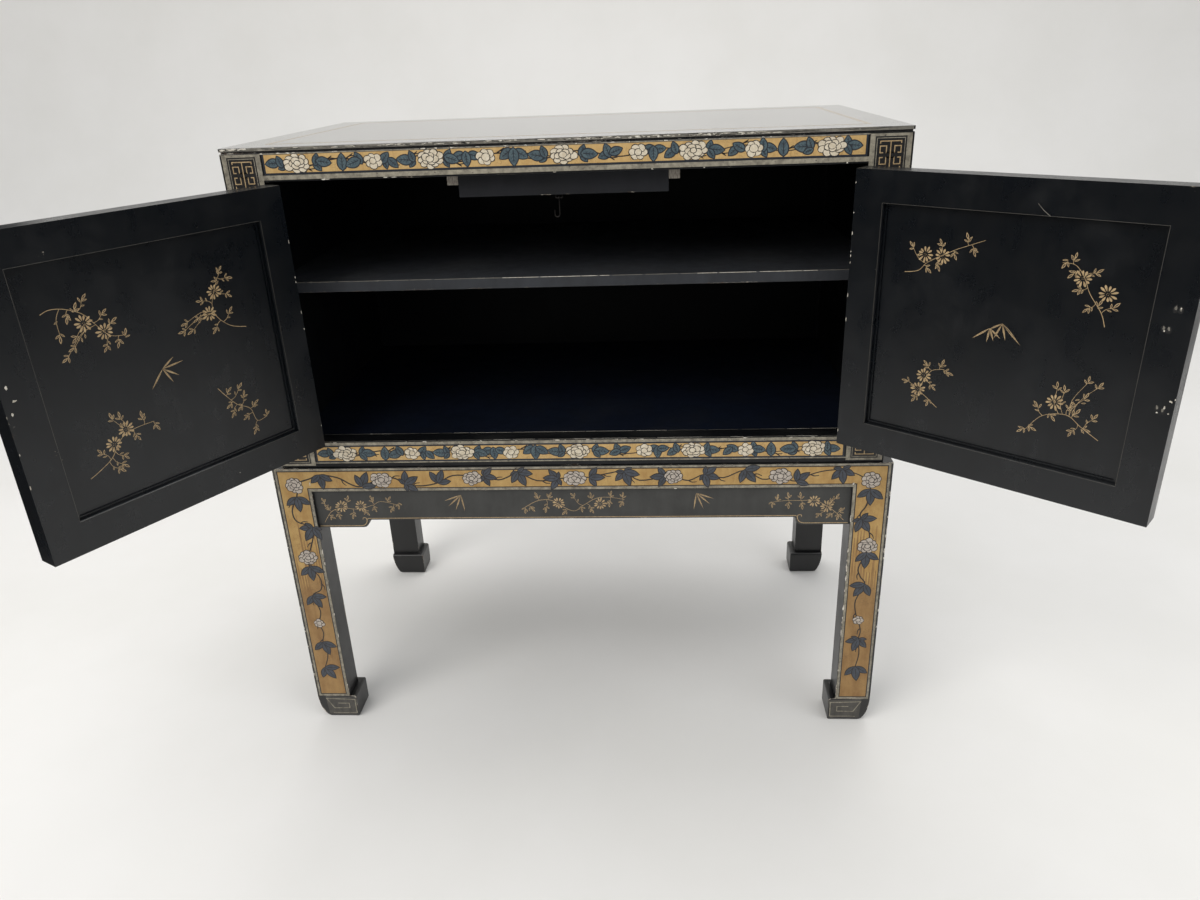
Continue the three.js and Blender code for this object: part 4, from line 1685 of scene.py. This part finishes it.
    def _aprons(self) -> None:
        """Paints gilt lines on all aprons, and sprays on the front and the sides."""
        front_reach = self.half_width - self.leg - 0.2
        side_reach = self.half_depth - self.leg_depth - 0.2
        left, middle, right = APRON_SPRAYS
        ends = ((left, -405, -206), (right, 405, 206))
        side_sprays = [carried(spray, (x, 400), (to, 400), 0.9) for spray, x, to in ends]
        for side, distance, reach, sprays, size in (
            (Side.FRONT, self.half_depth, front_reach, (left, middle, right), 9.0),
            (Side.BACK, self.half_depth, front_reach, (), 0.0),
            (Side.LEFT, self.half_width, side_reach, side_sprays, 8.5),
            (Side.RIGHT, self.half_width, side_reach, side_sprays, 8.5),
        ):
            drawing = self.draw(side, distance - self.apron_back, 51)
            drawing.stroke(self._apron_line(reach), 1.0, Pigment.GILT, Coat.STEM)
            self._scrolls(drawing, reach)
            for spray in sprays:
                drawing.spray(*spray, size)
            for direction in (-1, 1) if side is Side.FRONT else ():
                node = (direction * 182, 430)
                tips = [moved(node, -90 + direction * turn, 28) for turn in (-8, 22, 48, 70)]
                drawing.bamboo(node, tips)
            drawing.make(f"apron_gilding_{side.name.lower()}")

    def _back_legs(self) -> None:
        """Paints small gilt sprigs on the front of both back legs."""
        drawing = self.draw(Side.FRONT, self.leg_depth - self.half_depth, 57)
        sprig = (
            ((-8, -26), (3, -8), (-4, 10), (6, 28)),
            ((1, 8),),
            ((-12, -6), (13, 4), (-14, 16), (12, -20)),
        )
        for direction in (-1, 1):
            x = direction * (self.half_width - self.leg / 2)
            for z in (352, 262, 168):
                drawing.spray(*carried(sprig, (0, 0), (x, z), 1), 8.0)
        drawing.make("back_leg_sprigs")

    def _leg_chips(self) -> None:
        """Chips the corners of the front legs."""
        drawing = self.draw(Side.FRONT, self.half_depth, 61)
        inner, outer = self.half_width - self.leg + 0.8, self.half_width - 1.0
        places = [
            (inner, 446, 1.6, 1.8), (inner, 385, 0.9, 4.5), (inner, 331, 0.9, 4.0),
            (inner, 300, 1.1, 9.0), (inner + 0.4, 282, 1.2, 5.0), (inner, 226, 1.3, 5.0),
            (inner, 176, 1.0, 8.0), (outer, 330, 0.8, 5.0), (outer, 430, 0.9, 3.0),
            (-inner, 331, 1.0, 6.0), (-inner, 214, 0.9, 3.0), (-inner, 172, 0.9, 4.0),
            (-inner, 262, 0.8, 2.0), (150, 440.8, 2.2, 0.8),
        ]  # fmt: skip
        small_chips = 26
        for _ in range(small_chips):
            x = drawing.chance.choice((inner, -inner, outer, -outer))
            tall = drawing.chance.uniform(0.8, 3.5)
            places.append((x, drawing.chance.uniform(60, 470), 0.7, tall))
        drawing.chips(places)
        drawing.make("leg_chips", slot="black_lacquer")


APRON_SPRAYS = (
    (
        ((-405, 384), (-391, 403), (-372, 409), (-348, 407), (-323, 414), (-309, 420), (-282, 413)),
        ((-374, 412), (-343, 412)),
        ((-402, 422), (-396, 411), (-362, 425), (-358, 395), (-380, 394), (-391, 392), (-297, 424),
         (-295, 406), (-282, 412), (-325, 425), (-335, 400), (-321, 406)),
    ),
    (
        ((-83, 408), (-63, 419), (-42, 420), (-23, 408), (-6, 401), (10, 412), (30, 423), (50, 424),
         (72, 420)),
        ((-30, 415), (34, 413)),
        ((-84, 402), (-72, 404), (-63, 428), (-43, 429), (-50, 404), (-22, 399), (-8, 428),
         (6, 404), (20, 428), (22, 402), (48, 412), (52, 430), (66, 412), (70, 428)),
    ),
    (
        ((406, 382), (394, 395), (380, 406), (362, 416), (341, 416), (318, 416), (294, 413)),
        ((380, 406), (360, 415)),
        ((394, 422), (388, 416), (404, 399), (368, 390), (384, 389), (343, 407), (340, 424),
         (322, 408), (321, 424), (306, 421), (297, 409), (398, 388)),
    ),
)  # fmt: skip
RIGHT_DOOR_SPRAYS = (
    (
        ((74, 779), (92, 783), (104, 795), (134, 812), (152, 820), (171, 828)),
        ((99, 804), (121, 804)),
        ((80, 813), (118, 820), (150, 829), (159, 812), (105, 786), (118, 790), (136, 806)),
    ),
    (
        ((315, 746), (309, 761), (294, 781), (285, 799), (274, 811), (260, 812)),
        ((284, 797), (312, 783)),
        ((273, 820), (263, 811), (299, 806), (272, 800), (280, 783), (293, 763), (322, 770),
         (306, 771)),
    ),
    (
        ((136, 608), (122, 618), (111, 629), (122, 654), (134, 660)),
        ((114, 648), (108, 628)),
        ((116, 665), (137, 668), (147, 658), (90, 637), (128, 634), (104, 614), (123, 612)),
    ),
    (
        ((331, 612), (310, 624), (292, 635), (266, 628), (251, 609)),
        ((277, 648),),
        ((277, 668), (286, 666), (258, 641), (295, 648), (277, 629), (303, 640), (323, 639),
         (311, 662), (310, 682), (322, 678), (244, 604), (256, 609), (300, 614), (316, 622)),
    ),
)  # fmt: skip
LEFT_DOOR_SPRAYS = (
    (
        ((334, 807), (323, 810), (307, 807), (289, 797), (278, 782), (265, 766), (247, 762)),
        ((291, 787), (270, 772)),
        ((285, 815), (296, 806), (308, 796), (266, 794), (258, 782), (320, 777), (305, 772),
         (310, 761), (320, 752), (273, 752), (257, 754), (246, 764)),
    ),
    (
        ((86, 731), (108, 738), (125, 754), (128, 772), (114, 802)),
        ((122, 786), (135, 760)),
        ((108, 812), (98, 800), (118, 799), (102, 778), (144, 779), (105, 757), (171, 756),
         (176, 746), (164, 744), (131, 737), (154, 757)),
    ),
    (
        ((331, 607), (315, 614), (300, 623), (285, 641), (267, 648), (240, 649)),
        ((276, 651), (294, 638)),
        ((290, 671), (280, 669), (254, 661), (238, 641), (264, 636), (312, 634), (284, 618),
         (288, 608), (294, 604)),
    ),
    (
        ((146, 662), (137, 649), (123, 632), (105, 620), (98, 600), (82, 601)),
        (),
        ((131, 654), (114, 654), (110, 642), (134, 634), (120, 626), (132, 621), (114, 609),
         (96, 625), (82, 606), (103, 587)),
    ),
)  # fmt: skip
DOOR_BAMBOO = {
    "left": (((213, 709), ((232, 688), (196, 720), (184, 712), (193, 695), (203, 689))),),
    "right": (
        ((190, 724), ((170, 708), (188, 706), (196, 709), (204, 713))),
        ((204, 732), ((196, 712), (210, 712), (222, 716), (228, 709))),
        ((190, 723), ((204, 732),)),
    ),
}  # fmt: skip
PEONY_STEM = ((76, 584), (112, 622), (140, 676), (186, 722), (214, 776), (262, 826))
PEONY_BRANCHES = (
    ((112, 622), (168, 618), (222, 604), (262, 620), (318, 618)),
    ((140, 676), (112, 722), (104, 776), (92, 824)),
    ((186, 722), (244, 716), (292, 730), (322, 766)),
)
PEONIES = (
    (262, 818, 37, Pigment.PETAL_CREAM), (98, 812, 31, Pigment.PETAL_ROSE),
    (318, 758, 29, Pigment.PETAL_ROSE), (312, 616, 34, Pigment.PETAL_CREAM),
    (160, 704, 33, Pigment.PETAL_CREAM), (206, 614, 25, Pigment.PETAL_ROSE),
)  # fmt: skip
CATCH_MARKS = ((386, 778), (381, 779), (379, 756), (374, 756), (390, 666), (384, 668))
DOOR_CHIPS = {
    "left": ((392, 742, 1.4, 2.2), (388, 726, 2.4, 1.2), (394, 712, 1.2, 1.8)),
    "right": (
        (386, 780, 0.8, 1.2), (375, 754, 0.8, 1.0), (396, 678, 1.8, 1.0), (391, 670, 0.9, 1.6),
        (385, 663, 0.9, 0.8), (396, 664, 1.2, 0.7),
    ),
}  # fmt: skip


@dataclass
class Door(SubAssembly):
    """A framed door with a sunk panel, gilt sprays inside and flowers outside.

    Attributes:
        name: "left" or "right".
        direction: -1 on the left, 1 on the right.
        sprays: The gilt sprays of the inner panel.
        width: From the hinge axis to the free edge.
        foot: Height of the door's lower edge.
        head: Height of its upper edge.
        outer_face: The outer face's distance from the hinge axis.
        thickness: The frame's thickness.
        panel_sunk: How far the panel lies behind the frame on each side.
        member: Width of the frame's members.
    """

    name: str
    direction: int
    sprays: Sequence[tuple]
    width: float = 400.25
    foot: float = 524.7
    head: float = 903.2
    outer_face: float = 4.0
    thickness: float = 30.0
    panel_sunk: float = 9.0
    member: float = 41.0

    @property
    def body(self) -> str:
        """Returns the name of the body that the door is."""
        return f"door_{self.name}"

    def build(self) -> None:
        """Dresses the door and paints both faces."""
        for member in ("hinge_stile", "meeting_stile", "bottom_rail", "top_rail", "panel"):
            self.palette.dress(f"{self.body}_{member}", "door_lacquer", 0.3)
        self.palette.dress(f"{self.body}_pull", "old_brass", 0.0)
        for level in ("lower", "upper"):
            for part in ("frame_leaf", "pin", "door_leaf"):
                self.palette.dress(f"hinge_{self.name}_{level}_{part}", "old_brass", 0.0)
        self._inner_panel()
        self._outer_frame()
        self._outer_panel()
        self._marks()

    def _on_face(self, inner: bool, sunk: float, seed: int) -> Drawing:
        """Starts a drawing on the door's inner or outer face as it stands at rest.

        Args:
            inner: Whether it is the inner face.
            sunk: How far below the frame's face it lies, in millimetres.
            seed: Where its unevenness starts.

        Returns:
            The empty drawing, with places counted from the hinge axis and the floor.
        """
        joint = next(j for j in frame["joints"] if j["child"] == self.body)
        # The door rests open, so the longer way of its joint is the one that closes it.
        closed = max(joint["range_deg"], key=abs)
        turn = Matrix.Rotation(math.radians(-closed), 3, "Z")
        across, inward = turn @ Vector((-self.direction, 0, 0)), turn @ Vector((0, 1, 0))
        axis = Vector((*joint["pos_m"][:2], 0.0))
        depth = self.outer_face + (self.thickness - sunk if inner else sunk)
        out = inward if inner else -inward
        face = Face(axis + inward * depth * MM, across, Vector((0, 0, 1)), out)
        return Drawing(face, self.palette, seed)

    def _within(self, edge: float) -> Corners:
        """Returns the corners of a rectangle that lies so far inside the door's edges."""
        return inset((0.0, self.foot), (self.width, self.head), edge)

    def _inner_panel(self) -> None:
        """Paints the inner panel's gilt sprays and lays the dark moulding round them."""
        drawing = self._on_face(True, self.panel_sunk, 71 + self.direction)
        for spray in self.sprays:
            drawing.spray(*spray, 9.2)
        for node, tips in DOOR_BAMBOO[self.name]:
            drawing.bamboo(node, tips)
        drawing.border(*self._within(self.member + 0.1), 3.2, Pigment.DOOR_FILM, Coat.MOULDING)
        drawing.make(f"{self.body}_inner_sprays", self.body)

    def _outer_frame(self) -> None:
        """Paints a lined border on the outer frame."""
        drawing = self._on_face(False, 0.0, 81)
        self._film(drawing)
        corners = self._within(7.0)
        drawing.border(*corners, 4.0, Pigment.BORDER_GREY, Coat.BORDER)
        drawing.border(*inset(*corners, 5.5), 1.4, Pigment.GILT, Coat.LINE)
        drawing.border(*self._within(self.member - 6), 1.2, Pigment.GILT, Coat.LINE)
        drawing.make(f"{self.body}_outer_lines", self.body)

    def _outer_panel(self) -> None:
        """Paints a branch of peonies that rises from the outer panel's lower hinge corner."""
        panel = self._on_face(False, self.panel_sunk, 83 + self.direction)
        panel.border(*self._within(self.member + 8), 1.0, Pigment.GILT, Coat.LINE)
        stem = smooth(PEONY_STEM, 6)
        panel.stroke(stem, 5.0, Pigment.FADED_LINE, Coat.BRANCH, (1.0, 0.4))
        panel.stroke(stem, 1.2, Pigment.GILT, Coat.BUD, (1.0, 0.4))
        for branch in PEONY_BRANCHES:
            panel.stroke(smooth(branch, 6), 3.0, Pigment.FADED_LINE, Coat.BRANCH, (1.0, 0.4))
        for line in (PEONY_STEM, *PEONY_BRANCHES):
            for i, place in enumerate(smooth(line, 4)[2:-1:2]):
                way = 48 + (78 if i % 2 else -70) + panel.chance.uniform(-22, 22)
                length = panel.chance.uniform(22, 31)
                panel.leaf(place, way, length, length * 0.5, Pigment.LEAF_TEAL)
                panel.leaf(place, way + 44, length * 0.8, length * 0.4, Pigment.LEAF_SLATE)
        for x, y, size, pigment in PEONIES:
            phase = panel.chance.uniform(0, 60)
            for turn in range(0, 360, 60):
                way = phase + turn + panel.chance.uniform(-8, 8)
                foot = moved((x, y), way, size * 0.62)
                panel.leaf(foot, way, size * 0.85, size * 0.42, Pigment.LEAF_TEAL)
            panel.blossom((x, y), (size, size * 0.88), pigment, False)
            for way in (70, 95, 118):
                anther = moved((x, y), way, size * 0.12)
                panel.blot(anther, (1.1, 1.1), Pigment.GILT, Coat.ANTHER, 0.1)
        panel.make(f"{self.body}_outer_flowers", self.body)

    def _film(self, drawing: Drawing) -> None:
        """Covers the frame's corner joints with an unbroken coat of lacquer."""
        width = self.member - 2.6
        drawing.border(*self._within(1.3), width, Pigment.DOOR_FILM, Coat.FILM)

    def _marks(self) -> None:
        """Chips the inner face's corners and adds a painted highlight line along the frame's inner
        edge, marks and scratch.
        """
        drawing = self._on_face(True, 0.0, 91 + self.direction)
        self._film(drawing)
        # A thin pale line along the frame's inner edge: a painted highlight where the moulding
        # catches the light.
        drawing.border(*self._within(self.member - 1.1), 0.45, Pigment.FOOT_GROUND, Coat.WEAR)
        places, small_chips = [], 12
        for _ in range(small_chips):
            tall = drawing.chance.uniform(0.8, 3.0)
            x = drawing.chance.choice((1.8, self.width - 0.8))
            places.append((x, drawing.chance.uniform(self.foot + 4, self.head - 4), 0.5, tall))
        if self.name == "right":
            for x, y in CATCH_MARKS:
                drawing.blot((x, y), (2.6, 4.2), Pigment.FIELD_BLACK, Coat.BORDER, 0.2)
                drawing.blot((x, y + 1), (1.2, 2.2), Pigment.FADED_LINE, Coat.BRANCH, 0.3)
            scratch = [(227, 876), (234, 869), (242, 863)]
            drawing.stroke(scratch, 0.8, Pigment.FADED_LINE, Coat.SCRATCH, (0.5, 1.0))
        drawing.chips([*places, *DOOR_CHIPS[self.name]])
        drawing.make(f"{self.body}_marks", self.body, "black_lacquer")


@dataclass(frozen=True)
class Viewpoint:
    """The camera.

    Attributes:
        place: Where it stands, in metres.
        turned: How far it turns left of straight ahead, in degrees.
        lowered: How far it looks down, in degrees.
        rolled: How far it leans, in degrees.
        lens: Its focal length.
        sensor: Its sensor's width, in millimetres.
        shift: Its shift across and up.
        clip: The nearest and farthest distance that it sees, in metres.
    """

    place: tuple[float, float, float] = (0.0837, -1.3086, 1.0411)
    turned: float = 4.01
    lowered: float = 23.63
    rolled: float = -2.27
    lens: float = 26.84
    sensor: float = 36.0
    shift: tuple[float, float] = (-0.005, 0.0007)
    clip: tuple[float, float] = (0.02, 60.0)

    def make(self) -> None:
        """Makes the camera and sets it as the scene's."""
        turned, lowered, rolled = map(math.radians, (self.turned, self.lowered, self.rolled))
        level = Vector((math.cos(turned), math.sin(turned), 0.0))
        east, north = -math.sin(turned) * math.cos(lowered), math.cos(turned) * math.cos(lowered)
        ahead = Vector((east, north, -math.sin(lowered)))
        upright = level.cross(ahead)
        across = math.cos(rolled) * level + math.sin(rolled) * upright
        up = -math.sin(rolled) * level + math.cos(rolled) * upright
        data = bpy.data.cameras.new("camera")
        data.lens, data.sensor_width = self.lens, self.sensor
        data.shift_x, data.shift_y = self.shift
        data.clip_start, data.clip_end = self.clip
        camera = put("camera", data)
        turn = Matrix((across, up, -ahead)).transposed().to_4x4()
        camera.matrix_world = Matrix.Translation(self.place) @ turn
        bpy.context.scene.camera = camera


@dataclass(frozen=True)
class Lamp:
    """A soft square lamp.

    Attributes:
        name: Its name.
        place: Where it hangs, in metres.
        aim: What it looks at.
        size: Its side, in metres.
        power: Its power, in watts.
        colour: Its colour.
    """

    name: str
    place: tuple[float, float, float]
    aim: tuple[float, float, float]
    size: float
    power: float
    colour: tuple[float, float, float]

    def hang(self) -> None:
        """Makes the lamp and hangs it in its place."""
        data = bpy.data.lights.new(self.name, "AREA")
        data.size, data.energy, data.color = self.size, self.power, self.colour
        lamp = put(self.name, data)
        lamp.location = self.place
        direction = Vector(self.aim) - Vector(self.place)
        lamp.rotation_euler = direction.to_track_quat("-Z", "Y").to_euler()


LAMPS = (
    Lamp("key", (-1.9, -2.3, 3.1), (0.0, 0.1, 0.5), 2.4, 76.0, (1.0, 0.985, 0.96)),
    Lamp("fill", (2.6, -1.9, 2.4), (0.0, 0.1, 0.5), 2.6, 24.0, (0.95, 0.975, 1.0)),
    Lamp("over", (0.2, 1.2, 3.4), (0.0, 0.2, 0.6), 2.2, 46.0, (1.0, 1.0, 1.0)),
)


@dataclass
class Studio:
    """A pale floor that sweeps up behind, a dark screen, soft lamps and a pale room.

    Attributes:
        floor_reach: How far the floor goes to each side and forwards, in metres.
        wall_at: Where the floor starts to sweep up behind, in metres.
        sweep: The sweep's radius, in metres.
        sweep_steps: How many flat strips it has.
        wall_height: The backdrop's height, in metres.
        screen_middle: The middle of the dark screen's round, in metres.
        screen_radius: How far the dark screen stands from its middle, in metres.
        screen_height: Its height, in metres.
        screen_foot: How far it stands over the floor, in metres.
        screen_from: The direction in which it starts, in degrees.
        screen_turn: How far round it goes, in degrees.
        screen_panels: How many flat panels it has.
    """

    floor_reach: float = 16.0
    wall_at: float = 2.6
    sweep: float = 1.2
    sweep_steps: int = 16
    wall_height: float = 6.0
    screen_middle: Place = (0.45, 0.1)
    screen_radius: float = 2.0
    screen_height: float = 1.5
    screen_foot: float = 0.002
    screen_from: float = 160.0
    screen_turn: float = 220.0
    screen_panels: int = 24

    def build(self) -> None:
        """Makes the floor, the screen, the room and the lamps."""
        self._floor()
        self._screen()
        self._room()
        for lamp in LAMPS:
            lamp.hang()
        bpy.context.scene.view_settings.view_transform = "Standard"
        LOG.info("studio ready")

    @staticmethod
    def _sheet(name: str, vertices: list[tuple], turned: bool, material: Material) -> Object:
        """Makes a sheet of strips between pairs of vertices.

        Args:
            name: Its name.
            vertices: Its vertices, two by two along the sheet.
            turned: Whether its strips turn the other way round.
            material: Its material.

        Returns:
            The sheet.
        """
        order = (0, 2, 3, 1) if turned else (0, 1, 3, 2)
        faces = [[2 * i + k for k in order] for i in range(len(vertices) // 2 - 1)]
        mesh = bpy.data.meshes.new(name)
        mesh.from_pydata(vertices, [], faces)
        mesh.materials.append(material)
        return put(name, mesh)

    def _floor(self) -> None:
        """Makes the floor and backdrop as one curved sheet."""
        profile = [(-self.floor_reach, 0.0)]
        for i in range(self.sweep_steps + 1):
            turn = math.pi / 2 * i / self.sweep_steps
            y = self.wall_at + self.sweep * math.sin(turn)
            profile.append((y, self.sweep * (1 - math.cos(turn))))
        profile.append((self.wall_at + self.sweep, self.wall_height))
        vertices = [(x, y, z) for y, z in profile for x in (-self.floor_reach, self.floor_reach)]
        material, graph, shader = start_material("pale_floor")
        cloud = graph.noise(graph.own_place(), 1.6, 5.0)
        base = graph.mix(graph.step(cloud, 0.3, 0.75), tint(230, 228, 225), tint(225, 223, 219))
        inputs = {"Base Color": base, "Roughness": 0.9, "Specular IOR Level": 0.0}
        finish_material(graph, shader, inputs)
        floor = self._sheet("floor", vertices, False, material)
        for polygon in floor.data.polygons:
            polygon.use_smooth = True

    def _screen(self) -> None:
        """Stands a dark half round screen in front, which only the lacquer's reflections show."""
        (x, y), radius = self.screen_middle, self.screen_radius
        vertices = []
        for i in range(self.screen_panels + 1):
            turn = math.radians(self.screen_from + self.screen_turn * i / self.screen_panels)
            across, along = x + radius * math.cos(turn), y + radius * math.sin(turn)
            vertices += [(across, along, z) for z in (self.screen_foot, self.screen_height)]
        material, graph, shader = start_material("screen_cloth")
        cloud = graph.noise(graph.own_place(), 3.0, 4.0)
        base = graph.mix(cloud, tint(34, 34, 36), tint(26, 26, 28))
        finish_material(graph, shader, {"Base Color": base, "Roughness": 0.9})
        screen = self._sheet("dark_screen", vertices, True, material)
        screen.visible_camera = screen.visible_diffuse = screen.visible_shadow = False

    def _room(self) -> None:
        """Lights the world evenly and shows it near white behind the cabinet."""
        world = bpy.data.worlds.new("room")
        world.use_nodes = True
        graph = Graph(world.node_tree)
        path = graph.add("ShaderNodeLightPath").outputs
        seen = graph.sum("MAXIMUM", path["Is Camera Ray"], path["Is Glossy Ray"])
        seen = graph.sum("MAXIMUM", seen, path["Is Transmission Ray"])
        colour = graph.mix(seen, tint(228, 230, 232), tint(226, 226, 223))
        strength = graph.sum("MULTIPLY_ADD", seen, 0.2, 0.86)
        background = world.node_tree.nodes["Background"]
        graph.feed(background, {"Color": colour, "Strength": strength})
        bpy.context.scene.world = world


def main() -> None:
    """Builds the camera, the cabinet's parts and the studio, in that order."""
    logging.basicConfig(level=logging.INFO, format="%(name)s: %(message)s")
    Viewpoint().make()
    palette = Palette()
    low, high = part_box("top_board")
    centre = Vector(((low[0] + high[0]) / 2, (low[1] + high[1]) / 2, 0.0))
    Carcass(palette, centre).build()
    StopRail(palette, centre).build()
    Stand(palette, centre).build()
    Door(palette, centre, "left", -1, LEFT_DOOR_SPRAYS).build()
    Door(palette, centre, "right", 1, RIGHT_DOOR_SPRAYS).build()
    Studio().build()


if __name__ == "__main__":
    main()
